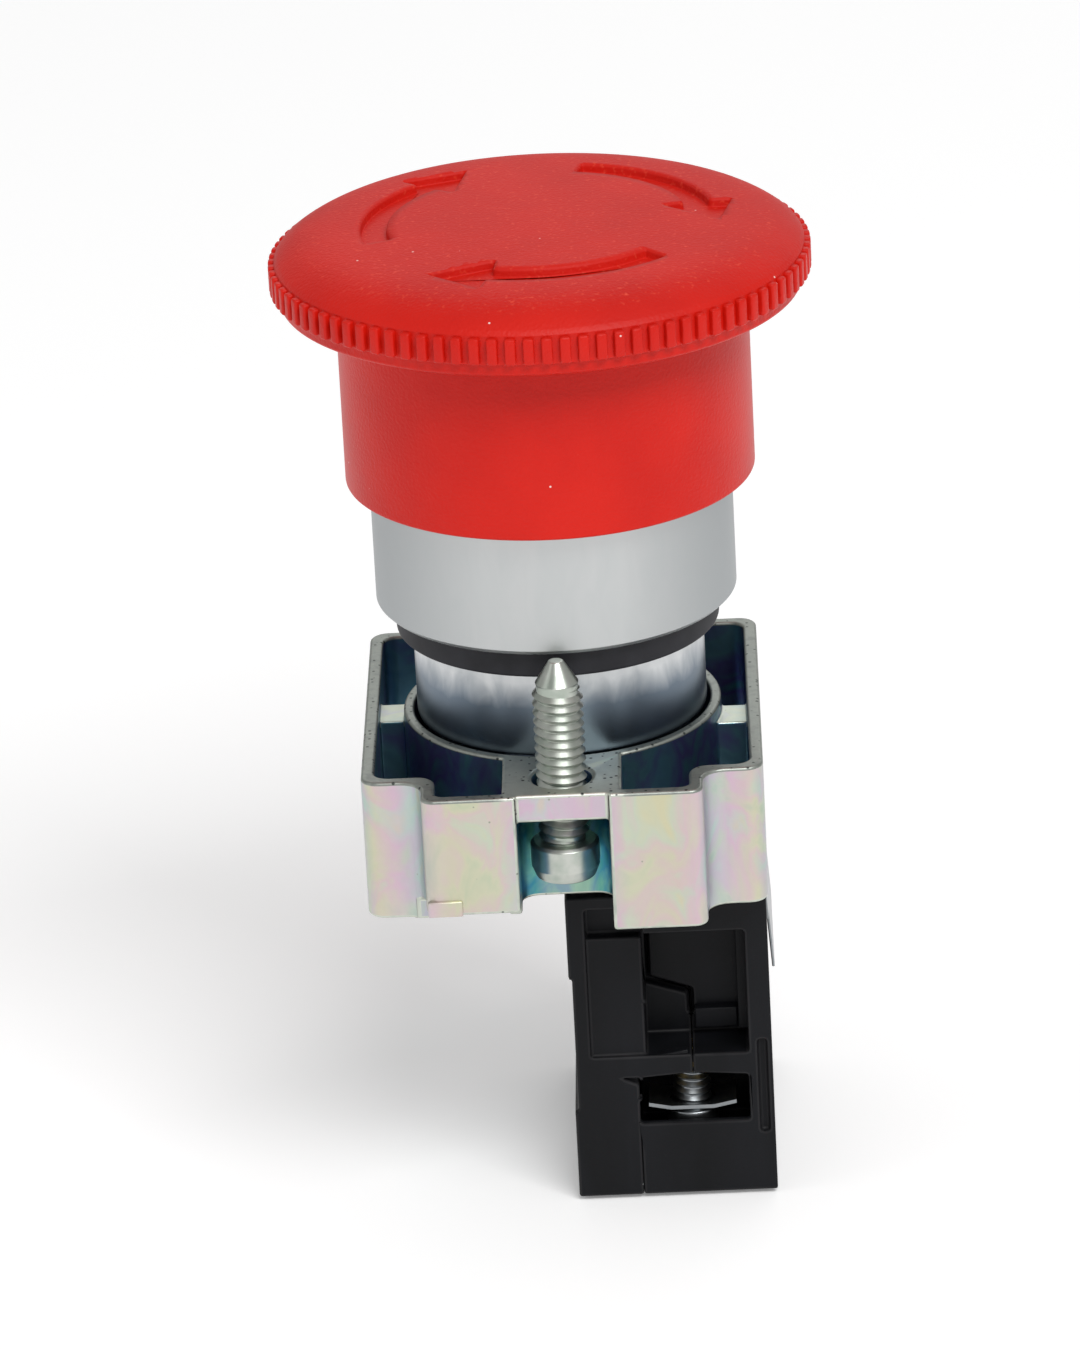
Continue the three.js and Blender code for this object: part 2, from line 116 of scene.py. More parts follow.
def turned(name, profile, segments=96, steps=5):  # closed outline of (radius, z) turned round Z
    verts, rings, faces = [], [], []
    for r, z in rounded(profile, steps):
        count = 1 if r < 1e-6 else segments
        rings.append([len(verts) + k for k in range(count)])
        for k in range(count):
            angle = 2 * math.pi * k / segments
            verts.append((r * math.cos(angle), r * math.sin(angle), z))
    for lower, upper in zip(rings, rings[1:] + rings[:1]):
        for k in range(segments):
            near, far = k, k + 1
            face = [lower[near % len(lower)], lower[far % len(lower)],
                    upper[far % len(upper)], upper[near % len(upper)]]
            face = list(dict.fromkeys(face))
            if len(face) > 2:
                faces.append(face)
    return addMesh(name, verts, faces)


spread = {  # where an outline's two numbers and the depth along an axis go
    "x": lambda a, b, depth: (depth, a, b),
    "y": lambda a, b, depth: (a, depth, b),
    "z": lambda a, b, depth: (a, b, depth),
}


def prism(name, corners, axis, low, high, steps=5):  # outline pushed along an axis
    loop = rounded(corners, steps)
    count = len(loop)
    verts = [spread[axis](a, b, depth) for depth in (low, high) for a, b in loop]
    sides = [[k, (k + 1) % count, (k + 1) % count + count, k + count] for k in range(count)]
    return addMesh(name, verts, sides + [list(range(count)), list(range(count, 2 * count))])


def cuboid(x0, x1, y0, y1, z0, z1):  # plain block that only cuts or is joined to others
    return prism("cuboid", [(x0, y0), (x1, y0), (x1, y1), (x0, y1)], "z", z0, z1)


def rod(radius, z0, z1, x=0, y=0, segments=64):
    return moved(turned("rod", [(0, z0), (radius, z0), (radius, z1), (0, z1)], segments), (x, y, 0))


def moved(obj, place=(0, 0, 0), turn=0, axis="Z"):  # the mesh is moved, the object stays at the origin
    shift = Matrix.Translation(Vector(place) * mm)
    obj.data.transform(shift @ Matrix.Rotation(math.radians(turn), 4, axis))
    return obj


def copied(obj, turn=0, mirrorY=False):
    twin = obj.copy()
    twin.data = obj.data.copy()
    bpy.context.scene.collection.objects.link(twin)
    if mirrorY:
        twin.data.transform(Matrix.Scale(-1, 4, (0, 1, 0)))
        twin.data.flip_normals()
    return moved(twin, turn=turn)


def bothSides(obj):  # a piece and its copy half a turn round the axis
    return [obj, copied(obj, turn=180)]


def bothEnds(obj):  # a piece and its mirror image at the rear
    return [obj, copied(obj, mirrorY=True)]


def combine(obj, operation, tools):
    for tool in tools:
        boolean = obj.modifiers.new(operation, "BOOLEAN")
        boolean.operation = operation
        boolean.solver = "MANIFOLD"
        boolean.object = tool
    settle(obj)
    for tool in tools:
        bpy.data.objects.remove(tool)
    return obj


def cut(obj, *tools):
    return combine(obj, "DIFFERENCE", tools)


def joined(name, *parts):  # closed shells that touch or overlap, kept in one mesh
    bm = bmesh.new()
    for part in parts:
        bm.from_mesh(part.data)
    mesh = bpy.data.meshes.new(name)
    bm.to_mesh(mesh)
    bm.free()
    for slotMaterial in parts[0].data.materials:
        mesh.materials.append(slotMaterial)
    for part in parts:
        bpy.data.objects.remove(part)
    obj = bpy.data.objects.new(name, mesh)
    bpy.context.scene.collection.objects.link(obj)
    return obj


def softened(obj, width, segments=2, angle=30, worn=False):  # edges rounded as moulds and tumbling leave them
    bm = bmesh.new()
    bm.from_mesh(obj.data)
    bmesh.ops.remove_doubles(bm, verts=bm.verts, dist=0.004 * mm)
    bmesh.ops.dissolve_limit(bm, angle_limit=math.radians(0.8), verts=bm.verts, edges=bm.edges)
    bm.to_mesh(obj.data)
    bm.free()
    bevel = obj.modifiers.new("edges", "BEVEL")
    bevel.width = width * mm
    bevel.segments = segments
    bevel.limit_method = "ANGLE"
    bevel.angle_limit = math.radians(angle)
    bevel.miter_outer = "MITER_ARC"
    bevel.use_clamp_overlap = not worn
    if worn:  # the rounded edges take the second material
        for slotMaterial in (None, None):
            obj.data.materials.append(slotMaterial)
        bevel.material = 1
    return smoothed(settle(obj))


def smoothed(obj, angle=35):  # round where faces nearly agree, crisp where they don't
    obj.data.shade_smooth()
    obj.data.set_sharp_from_angle(angle=math.radians(angle))
    weighted = obj.modifiers.new("shading", "WEIGHTED_NORMAL")
    weighted.keep_sharp = True
    return settle(obj)


def finished(obj, name, body, slot, *materials):  # named, dressed and hung on its body in place of its node
    obj.name = name
    obj.data.name = name
    zones = [face.material_index for face in obj.data.polygons]
    obj.data.materials.clear()
    for material in materials:
        obj.data.materials.append(material)
    if len(materials) > 1:
        obj.data.polygons.foreach_set("material_index", zones)
    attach(obj, body)
    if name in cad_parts:
        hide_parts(name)
    return obj


def addNode(tree, kind, links=None, **settings):
    node = tree.nodes.new(kind)
    for name, value in settings.items():
        setattr(node, name, value)
    for name, value in (links or {}).items():
        if isinstance(value, bpy.types.NodeSocket):
            tree.links.new(value, node.inputs[name])
        else:
            node.inputs[name].default_value = value
    return node


def newTree(name, inputs):
    tree = bpy.data.node_groups.new(name, "GeometryNodeTree")
    for label, kind in inputs.items():
        tree.interface.new_socket(name=label, in_out="INPUT", socket_type="NodeSocket" + kind)
    tree.interface.new_socket(name="Geometry", in_out="OUTPUT", socket_type="NodeSocketGeometry")
    return tree, addNode(tree, "NodeGroupInput").outputs


def closeTree(tree, shape, material):  # every tree ends as real geometry with its material
    real = addNode(tree, "GeometryNodeRealizeInstances", {"Geometry": shape})
    dressed = addNode(tree, "GeometryNodeSetMaterial", {"Geometry": real.outputs[0], "Material": material})
    addNode(tree, "NodeGroupOutput", {"Geometry": dressed.outputs[0]})
    return tree


def grown(name, tree, values):  # runs a tree on an empty mesh and keeps the result as plain mesh
    obj = bpy.data.objects.new(name, bpy.data.meshes.new(name))
    bpy.context.scene.collection.objects.link(obj)
    modifier = obj.modifiers.new(tree.name, "NODES")
    modifier.node_group = tree
    for item in tree.interface.items_tree:
        if item.item_type == "SOCKET" and item.in_out == "INPUT" and item.name in values:
            modifier[item.identifier] = values[item.name]
    return settle(obj)


def makeCoilTree():  # wire wound round Z: springs, and the ridge of a screw thread
    tree, given = newTree("woundWire", {
        "Turns": "Float", "Radius": "Float", "Height": "Float", "Wire Radius": "Float",
        "Wire Sides": "Int", "Closed Turns": "Float", "Taper": "Float", "Steps": "Int",
        "Material": "Material",
    })
    spiral = addNode(tree, "GeometryNodeCurveSpiral", {
        "Resolution": given["Steps"], "Rotations": given["Turns"], "Height": 0.0,
        "Start Radius": given["Radius"], "End Radius": given["Radius"],
    })
    along = addNode(tree, "GeometryNodeSplineParameter").outputs["Factor"]
    share = addNode(tree, "ShaderNodeMath", {0: given["Closed Turns"], 1: given["Turns"]}, operation="DIVIDE")
    share = addNode(tree, "ShaderNodeMath", {0: share.outputs[0], 1: 1e-4}, operation="MAXIMUM").outputs[0]
    rest = addNode(tree, "ShaderNodeMath", {0: 1.0, 1: share}, operation="SUBTRACT").outputs[0]
    lead = addNode(
        tree, "ShaderNodeMath", {0: given["Closed Turns"], 1: given["Wire Radius"]}, operation="MULTIPLY",
    )
    lead = addNode(tree, "ShaderNodeMath", {0: lead.outputs[0], 1: 2.05}, operation="MULTIPLY").outputs[0]
    both = addNode(tree, "ShaderNodeMath", {0: lead, 1: 2.0}, operation="MULTIPLY").outputs[0]
    middle = addNode(tree, "ShaderNodeMath", {0: given["Height"], 1: both}, operation="SUBTRACT").outputs[0]
    rises = [addNode(tree, "ShaderNodeMapRange", {
        "Value": along, "From Min": start, "From Max": end, "To Min": 0.0, "To Max": rise,
    }).outputs[0] for start, end, rise in ((0.0, share, lead), (share, rest, middle), (rest, 1.0, lead))]
    rise = addNode(tree, "ShaderNodeMath", {0: rises[0], 1: rises[1]}, operation="ADD").outputs[0]
    rise = addNode(tree, "ShaderNodeMath", {0: rise, 1: rises[2]}, operation="ADD").outputs[0]
    lift = addNode(tree, "ShaderNodeCombineXYZ", {"Z": rise}).outputs[0]
    helix = addNode(
        tree, "GeometryNodeSetPosition", {"Geometry": spiral.outputs[0], "Offset": lift},
    ).outputs[0]
    upright = addNode(tree, "GeometryNodeSetCurveNormal", {"Curve": helix}, mode="Z_UP").outputs[0]
    nearEnd = addNode(tree, "ShaderNodeMath", {0: along, 1: 0.5}, operation="SUBTRACT").outputs[0]
    nearEnd = addNode(tree, "ShaderNodeMath", {0: nearEnd}, operation="ABSOLUTE").outputs[0]
    start = addNode(tree, "ShaderNodeMath", {0: 0.5, 1: given["Taper"]}, operation="SUBTRACT").outputs[0]
    size = addNode(tree, "ShaderNodeMapRange", {
        "Value": nearEnd, "From Min": start, "From Max": 0.5001, "To Min": 1.0, "To Max": 0.15,
    }).outputs[0]
    section = addNode(tree, "GeometryNodeCurvePrimitiveCircle", {
        "Resolution": given["Wire Sides"], "Radius": given["Wire Radius"],
    }).outputs[0]
    wire = addNode(tree, "GeometryNodeCurveToMesh", {
        "Curve": upright, "Profile Curve": section, "Scale": size, "Fill Caps": True,
    }).outputs[0]
    return closeTree(tree, wire, given["Material"])


def makeRingTree():  # copies of one tooth evenly round Z
    tree, given = newTree("toothedRing", {
        "Teeth": "Int", "Radius": "Float", "Tooth": "Object", "Material": "Material",
    })
    circle = addNode(tree, "GeometryNodeMeshCircle", {"Vertices": given["Teeth"], "Radius": given["Radius"]})
    tooth = addNode(tree, "GeometryNodeObjectInfo", {"Object": given["Tooth"]}, transform_space="ORIGINAL")
    place = addNode(tree, "GeometryNodeInputPosition").outputs[0]
    facing = addNode(tree, "FunctionNodeAlignRotationToVector", {"Vector": place}, axis="X", pivot_axis="Z")
    teeth = addNode(tree, "GeometryNodeInstanceOnPoints", {
        "Points": circle.outputs[0], "Instance": tooth.outputs["Geometry"], "Rotation": facing.outputs[0],
    })
    return closeTree(tree, teeth.outputs[0], given["Material"])


coilTree = makeCoilTree()
ringTree = makeRingTree()


def coil(name, material, radius, wire, height, turns, closedTurns=1.0, sides=12, taper=0.0, steps=36):
    return grown(name, coilTree, {
        "Turns": float(turns), "Radius": radius * mm, "Height": (height - wire) * mm,
        "Wire Radius": wire / 2 * mm, "Wire Sides": sides, "Closed Turns": float(closedTurns),
        "Taper": float(taper), "Steps": steps, "Material": material,
    })


def hexColour(code):  # sRGB hex to linear
    channels = [int(code[i:i + 2], 16) / 255 for i in (1, 3, 5)]
    return [c / 12.92 if c <= 0.04045 else ((c + 0.055) / 1.055) ** 2.4 for c in channels] + [1.0]


def perSize(size):  # texture scale that gives features of this many millimetres
    return 1 / (size * mm)


def newMaterial(name, **surface):
    material = bpy.data.materials.new(name)
    material.use_nodes = True
    tree = material.node_tree
    tree.nodes.clear()
    shader = addNode(tree, "ShaderNodeBsdfPrincipled", {k.replace("_", " "): v for k, v in surface.items()})
    addNode(tree, "ShaderNodeOutputMaterial", {"Surface": shader.outputs[0]})
    place = addNode(tree, "ShaderNodeTexCoord").outputs["Object"]
    return material, tree, shader, place


def rampColour(tree, value, low, high, stops):  # colours passed through as a value climbs from low to high
    share = addNode(tree, "ShaderNodeMapRange", {"Value": value, "From Min": low, "From Max": high})
    ramp = addNode(tree, "ShaderNodeValToRGB", {"Fac": share.outputs[0]})
    elements = ramp.color_ramp.elements
    while len(elements) < len(stops):
        elements.new(0.5)
    for element, (at, colour) in zip(elements, stops):
        element.position = at
        element.color = hexColour(colour)
    return ramp.outputs["Color"]


# drifting blots of this many mm
def patches(tree, place, size, detail=2.0, stretch=(1, 1, 1), distortion=0.0):
    where = addNode(tree, "ShaderNodeMapping", {"Vector": place, "Scale": stretch}).outputs[0]
    return addNode(tree, "ShaderNodeTexNoise", {
        "Vector": where, "Scale": perSize(size), "Detail": detail, "Distortion": distortion,
    }).outputs["Fac"]


# one colour turns to another as a value climbs from low to high
def blended(tree, value, low, high, start, end):
    share = addNode(
        tree, "ShaderNodeMapRange", {"Value": value, "From Min": low, "From Max": high},
    ).outputs[0]
    ends = [hexColour(colour) if isinstance(colour, str) else colour for colour in (start, end)]
    return addNode(tree, "ShaderNodeMix", {0: share, 6: ends[0], 7: ends[1]}, data_type="RGBA").outputs[2]


def specks(tree, place, spacing, size, share):  # sparse round spots: 1 on a spot, 0 elsewhere
    cells = addNode(tree, "ShaderNodeTexVoronoi", {"Vector": place, "Scale": perSize(spacing)})
    spot = addNode(tree, "ShaderNodeMapRange", {
        "Value": cells.outputs["Distance"], "From Min": size / spacing, "From Max": size / spacing * 0.6,
    }).outputs[0]
    chosen = addNode(tree, "ShaderNodeSeparateColor", {"Color": cells.outputs["Color"]}).outputs[0]
    chosen = addNode(tree, "ShaderNodeMath", {0: chosen, 1: share}, operation="LESS_THAN").outputs[0]
    return addNode(tree, "ShaderNodeMath", {0: spot, 1: chosen}, operation="MULTIPLY").outputs[0]


def offMiddle(tree, place):  # distance from the middle plane, left or right
    x = addNode(tree, "ShaderNodeSeparateXYZ", {"Vector": place}).outputs["X"]
    return addNode(tree, "ShaderNodeMath", {0: x}, operation="ABSOLUTE").outputs[0]


def roughened(tree, shader, value, start, end):  # roughness drifts with a pattern
    rough = addNode(tree, "ShaderNodeMapRange", {"Value": value, "To Min": start, "To Max": end})
    tree.links.new(rough.outputs[0], shader.inputs["Roughness"])


def dressed(tree, shader, tone, height, depth, strength):  # colour, and relief of this many millimetres
    bump = addNode(tree, "ShaderNodeBump", {"Height": height, "Distance": depth * mm, "Strength": strength})
    tree.links.new(bump.outputs[0], shader.inputs["Normal"])
    tree.links.new(tone, shader.inputs["Base Color"])


def sparkErodedRed():  # ABS moulded against a spark-eroded tool: dull satin with a fine grain; lighter red grains near the top are a painted highlight of the grain catching light
    look = {
        "deep": "#C41407", "bright": "#CE190A", "dust": "#E9CFC9", "paintedHighlightRed": "#E04A34",
        "grain": 0.26, "patch": 9.0, "dustSpacing": 1.9, "dustSize": 0.1, "dustShare": 0.3,
    }
    material, tree, shader, place = newMaterial("sparkErodedRedAbs", IOR=1.54, Specular_IOR_Level=0.2)
    drift = patches(tree, place, look["patch"], 3.0)
    tone = blended(tree, drift, 0.35, 0.65, look["deep"], look["bright"])
    height = addNode(tree, "ShaderNodeSeparateXYZ", {"Vector": place}).outputs["Z"]
    top = nodeBoxes["mushroom_cap"][1].z
    onTop = addNode(tree, "ShaderNodeMapRange", {
        "Value": height, "From Min": (top - 3) * mm, "From Max": (top - 1) * mm,
    }).outputs[0]
    # painted highlight: lighter red grains, only on the top and shoulder, stand in for the grain catching the
    # light
    topHighlightMask = patches(tree, place, look["grain"] * 1.5, 1.0)
    topHighlightMask = addNode(tree, "ShaderNodeMath", {0: topHighlightMask, 1: onTop}, operation="MULTIPLY").outputs[0]
    tone = blended(tree, topHighlightMask, 0.6, 0.9, tone, look["paintedHighlightRed"])
    dust = specks(tree, place, look["dustSpacing"], look["dustSize"], look["dustShare"])
    tone = blended(tree, dust, 0, 1, tone, look["dust"])
    roughened(tree, shader, onTop, 0.4, 0.56)
    dressed(tree, shader, tone, patches(tree, place, look["grain"], 3.0), 0.05, 1.0)
    return material


def satinZinc():  # zinc die casting, turned, satin plated: soft broad reflections and faint drag marks
    look = {
        "light": "#C9CBCB", "dark": "#C3C6C6", "paintedSideShade": "#9EA2A4", "sideShadeFrom": 5.0, "sideShadeTo": 15.5,
        "pit": "#6B6F72", "streak": 1.6, "line": 0.12,
    }
    material, tree, shader, place = newMaterial("satinPlatedZinc", Metallic=1.0)
    streaks = patches(tree, place, look["streak"], 4.0, (1, 1, 0.35), 0.6)
    tone = blended(tree, streaks, 0.3, 0.7, look["dark"], look["light"])
    # painted shade: the bezel darkens away from the middle plane, the shade its sides take under the front
    # light
    tone = blended(
        tree, offMiddle(tree, place), look["sideShadeFrom"] * mm, look["sideShadeTo"] * mm, tone, look["paintedSideShade"],
    )
    tone = blended(tree, specks(tree, place, 2.2, 0.07, 0.12), 0, 1, tone, look["pit"])
    roughened(tree, shader, streaks, 0.44, 0.54)
    dressed(tree, shader, tone, patches(tree, place, look["line"], 2.0, (0.05, 0.05, 1)), 0.004, 0.6)
    return material


# the same casting burnished bright on the neck: clearer reflections, and a painted dark reflection at its
# foot, where it sinks into the collar's shaded inside
def burnishedZinc():
    look = {
        # film is the colour of the painted dark reflection at the neck's foot
        "light": "#CDCFD0", "dark": "#B9BCBE", "film": "#707C88", "rub": 1.6, "footShadeTop": -0.2,
        "footShadeFull": -2.4,
    }
    material, tree, shader, place = newMaterial("burnishedZinc", Metallic=1.0)
    rubs = patches(tree, place, look["rub"], 4.0, (1, 1, 0.5), 0.6)
    tone = blended(tree, rubs, 0.32, 0.68, look["dark"], look["light"])
    height = addNode(tree, "ShaderNodeSeparateXYZ", {"Vector": place}).outputs["Z"]
    sway = addNode(
        tree, "ShaderNodeMath", {0: rubs, 1: 0.0014, 2: height}, operation="MULTIPLY_ADD",
    ).outputs[0]
    # painted dark reflection: the neck darkens towards its foot, along a wavering line, where it sinks into
    # the collar
    tone = blended(tree, sway, look["footShadeTop"] * mm, look["footShadeFull"] * mm, tone, look["film"])
    roughened(tree, shader, rubs, 0.36, 0.28)
    dressed(tree, shader, tone, rubs, 0.004, 0.25)
    return material


def passivated(name, tones, roughness, size, worn=None, spots=(1.1, 0.1, 0.2), tintAndPaintedLightBands=None, metallic=0.92):
    # zinc casting, blue-yellow chromate passivated: a film of changing thickness, so drifting pastel colours
    material, tree, shader, place = newMaterial(name, Metallic=metallic)
    drift = patches(tree, place, size, 3.0, (1, 1, 0.6), 0.8)
    tone = rampColour(
        tree, drift, 0.28, 0.72, [(k / (len(tones) - 1), colour) for k, colour in enumerate(tones)],
    )
    if tintAndPaintedLightBands:  # the colours also follow the distance from the middle: partly the film's real tint, partly painted light, a painted highlight on the rim's middle and painted shade in the pocket and at the lobes' sides
        across = offMiddle(tree, place)
        wave = addNode(
            tree, "ShaderNodeMath", {0: drift, 1: 0.0012, 2: across}, operation="MULTIPLY_ADD",
        ).outputs[0]
        reach = tintAndPaintedLightBands[-1][0]
        edge = rampColour(
            tree, wave, 0.6 * mm, (reach + 0.6) * mm, [(at / reach, colour) for at, colour in tintAndPaintedLightBands],
        )
        tone = addNode(tree, "ShaderNodeMix", {0: 0.5, 6: tone, 7: edge}, data_type="RGBA").outputs[2]
    if worn:
        tone = blended(tree, specks(tree, place, *spots), 0, 1, tone, worn)
    skin = patches(tree, place, 0.5, 3.0)
    roughened(tree, shader, skin, roughness - 0.08, roughness + 0.1)
    dressed(tree, shader, tone, skin, 0.02, 0.6)
    return material


def plainMetal(name, dark, light, roughness, film, mark, stretch=(1, 1, 1), depth=0.004):
    # worked metal whose colour drifts a little, with fine marks left by the tool or the rolls
    material, tree, shader, place = newMaterial(name, Metallic=1.0, Roughness=roughness)
    tone = blended(tree, patches(tree, place, film, 3.0), 0.32, 0.68, dark, light)
    dressed(tree, shader, tone, patches(tree, place, mark, 2.0, stretch), depth, 0.5)
    return material


def plainMoulded(name, dark, light, roughness, ior, cloud, grain, level=0.5):
    # moulded in one colour: barely clouded, with the mould's fine grain
    material, tree, shader, place = newMaterial(name, Roughness=roughness, IOR=ior, Specular_IOR_Level=level)
    tone = blended(tree, patches(tree, place, cloud, 3.0), 0.3, 0.72, dark, light)
    dressed(tree, shader, tone, patches(tree, place, grain, 2.0), 0.008, 0.5)
    return material


def filledNylon(name, dark, light, dustShare):
    # glass-filled nylon 66, moulded: near black, fine grain, flow lines and handling specks
    material, tree, shader, place = newMaterial(name, IOR=1.53, Specular_IOR_Level=0.15)
    flow = patches(tree, place, 4.5, 3.0, (1, 1, 0.3), 0.5)
    tone = blended(tree, flow, 0.3, 0.7, dark, light)
    tone = blended(tree, specks(tree, place, 2.0, 0.09, dustShare), 0, 1, tone, "#A9ABAD")
    roughened(tree, shader, flow, 0.42, 0.56)
    dressed(tree, shader, tone, patches(tree, place, 0.22, 3.0), 0.015, 0.6)
    return material


# colours of the collar's film: drifting tones, and how they follow the distance in mm from the middle; the
# pale ledge tones and the rim's near-white middle are painted highlight, and the hollow and pocket teals and
# the face's teal at the lobes' sides are painted shade over the film's real tint
film = {
    "face": ["#A9BFA4", "#C9C9B0", "#D2B3C3", "#BCCBBE", "#CDC9A4"],
    "faceTintAndPaintedShade": [
        (0, "#C9BCCB"), (3.3, "#C6B4C8"), (4.6, "#CACBB4"), (8.2, "#CBC8AE"), (9.9, "#CFBDC4"),
        # painted shade: the darker teal at 10.5 mm, where the lobe's side curves into the step
        (10.5, "#93B6BE"),
        (11.5, "#B4C3C6"), (12.4, "#D0BACB"), (14.0, "#CDC9B0"), (14.9, "#A5C0C3"),
    ],
    "rim": ["#858A85", "#A5AAA2", "#8F948E"],
    # rim: worn grey away from the middle, and a near-white middle over the bridge top that is a painted
    # highlight
    "rimWearAndPaintedHighlight": [(0, "#FAFDF2"), (4.1, "#F1F6EA"), (4.9, "#8D928D"), (15, "#8D928D")],
    "edge": ["#BCC3B8", "#CDD2C6", "#B3BAB0"],
    # painted highlight: pale tones for the upward faces of the bridge and rib tops, where light falls
    "ledge": ["#C4D4CC", "#D3DAC8", "#C8CCD6"],
    # painted shade: dark teal and navy for the hollows' walls, over the film's real blue tint
    "hollow": ["#557C8C", "#648F9C", "#66649A", "#579896"],
    # painted shade: the pocket's walls in deep teal, darker towards its side walls and corners, over the
    # film's real blue-teal tint
    "pocket": ["#3A8F88", "#3F75A8", "#7FB39A", "#3F8A80"],
    "pocketTintAndPaintedShade": [(0, "#A9B8A8"), (1.5, "#9DB3A4"), (2.4, "#3E9384"), (3.0, "#2C7C90"), (3.5, "#3A6FA8")],
}
red = sparkErodedRed()
satin = satinZinc()
bright = burnishedZinc()
zincFace = passivated(
    "chromatedZincFace", film["face"], 0.42, 3.2, "#9B9F90", (1.1, 0.1, 0.2), film["faceTintAndPaintedShade"],
)
# worn rim, with a painted highlight over the middle of the bridge top
zincRim = passivated(
    "chromatedZincWornRim", film["rim"], 0.42, 1.2, "#454947", (0.5, 0.15, 0.45), film["rimWearAndPaintedHighlight"],
)
zincEdge = passivated("chromatedZincRubbedEdge", film["edge"], 0.42, 1.5, "#70766F", (0.6, 0.13, 0.35))
# painted highlight: a pale, less metallic copy of the film for the lit upward faces
zincPaintedHighlight = passivated("chromatedZincPaintedHighlight", film["ledge"], 0.36, 2.5, "#7D8579", metallic=0.6)
# painted shade for the walls inside the hollows, over the film's real tint
zincHollowShaded = passivated("chromatedZincHollowPaintedShade", film["hollow"], 0.36, 4.0)
# painted shade in the screw pocket, over the film's real blue-teal tint
zincPocketShaded = passivated("chromatedZincPocketPaintedShade", film["pocket"], 0.34, 2.4, tintAndPaintedLightBands=film["pocketTintAndPaintedShade"])
# turned and bright zinc plated: soft glints with a faint green cast
steel = plainMetal("brightPlatedSteel", "#A9B2A8", "#C3C6BF", 0.33, 1.3, 0.25, (1, 1, 3), 0.006)
spring = plainMetal("drawnSpringSteel", "#868B8E", "#9A9EA0", 0.3, 2.5, 0.15)  # oiled: grey with draw lines
rubber = plainMoulded("mouldedNitrile", "#1E1E22", "#2C2C31", 0.62, 1.52, 3.0, 0.2, 0.3)  # matt, barely dusty
nylon = filledNylon("glassFilledNylon", "#0B0C0E", "#141519", 0.14)
nylonEdge = filledNylon("glassFilledNylonRubbedEdge", "#151517", "#252527", 0.35)
white = plainMoulded("naturalAcetal", "#D2CFC4", "#E2DFD6", 0.34, 1.48, 3.0, 0.3)  # milky with soft gloss
# rolling lines along it
brass = plainMetal("rolledBrass", "#A98A45", "#CDB06B", 0.3, 1.4, 0.12, (1, 0.08, 1))
copper = plainMetal("rolledCopper", "#9E6242", "#C48763", 0.28, 1.4, 0.12, (1, 0.08, 1))
# pressed rivet, soft white metal
silver = plainMetal("silverContactAlloy", "#C2C2C6", "#DEDEE2", 0.24, 1.4, 0.12)
print("materials made:", len(bpy.data.materials))


cap = {
    "shoulder": 19.3, "shoulderFrom": 13.0, "shoulderDrop": 1.32, "domeFall": 0.0018,
    "toothRoot": 19.55, "toothTop": 29.25, "toothBottom": 27.25, "skirt": 15.25,
    "skirtBore": 14.0, "ceiling": 28.3, "hub": 4.7, "hubBottom": 21.3, "socketTop": 27.8,
    "socketR": 3.5, "socketFlat": 3.0, "teeth": 94, "toothWidth": 0.8, "toothEdge": 0.17,
    "arrowIn": 11.1, "arrowOut": 13.05, "arrowTail": -45.5, "arrowNeck": 16.5, "arrowTip": (13.4, 35.8),
    "barbOut": 14.7, "barbIn": 9.5, "arrowDepth": 0.62, "arrowEdge": 0.2,
}


def domeHeight(r):  # the head is nearly flat and rolls over at the shoulder
    top = nodeBoxes["mushroom_cap"][1].z
    past = max(0, (r - cap["shoulderFrom"]) / (cap["shoulder"] - cap["shoulderFrom"]))
    return top - cap["domeFall"] * r * r - cap["shoulderDrop"] * past ** 3.6


def arrowOutline():
    def at(r, degrees, radius=0):
        angle = math.radians(degrees)
        return (-r * math.sin(angle), -r * math.cos(angle), radius)
    tail, neck, stops = cap["arrowTail"], cap["arrowNeck"], 16
    inside = [tail + (neck - tail) * k / stops for k in range(1, stops)]
    corner = 0.12
    hollow = cap["arrowEdge"] * 1.8  # inside corners stay round when the rim flares
    return rounded([
        at(cap["arrowOut"], tail, corner), *[at(cap["arrowOut"], degrees) for degrees in inside],
        at(cap["arrowOut"], neck, hollow), at(cap["barbOut"], neck, corner), at(*cap["arrowTip"], corner),
        at(cap["barbIn"], neck + 2, corner), at(cap["arrowIn"], neck, hollow),
        *[at(cap["arrowIn"], degrees) for degrees in reversed(inside)], at(cap["arrowIn"], tail, corner),
    ], 4)


def grownOutline(points, by):  # outline moved outwards by an even margin
    area = sum(a.cross(b) for a, b in zip(points, points[1:] + points[:1]))
    sign = 1 if area > 0 else -1
    result = []
    for i, at in enumerate(points):
        edges = [(at - points[i - 1]).normalized(), (points[(i + 1) % len(points)] - at).normalized()]
        normals = [Vector((edge.y, -edge.x)) * sign for edge in edges]
        result.append(at + (normals[0] + normals[1]) * by / (1 + normals[0].dot(normals[1])))
    return result


def arrowCutter(turn):  # recess that follows the dome, its rim rounded and its floor edge filleted
    rim, foot, depth = cap["arrowEdge"], 0.1, cap["arrowDepth"]
    rows = [(rim * 1.6, -0.5)]
    for degrees in (22, 45, 67, 90):
        angle = math.radians(degrees)
        rows.append((rim * (1 - math.sin(angle)), rim * (1 - math.cos(angle))))
    for degrees in (0, 30, 60, 90):
        angle = math.radians(degrees)
        rows.append((foot * (math.cos(angle) - 1) - 0.04, depth - foot + foot * math.sin(angle)))
    loop = arrowOutline()
    count = len(loop)
    verts = []
    for margin, sink in rows:
        verts += [(x, y, domeHeight(math.hypot(x, y)) - sink) for x, y in grownOutline(loop, margin)]
    faces = [list(range(count)), list(range(len(verts) - count, len(verts)))]
    for row in range(len(rows) - 1):
        for k in range(count):
            a, b = row * count + k, row * count + (k + 1) % count
            faces.append([a, b, b + count, a + count])
    return moved(addMesh("arrowCutter", verts, faces), turn=turn)


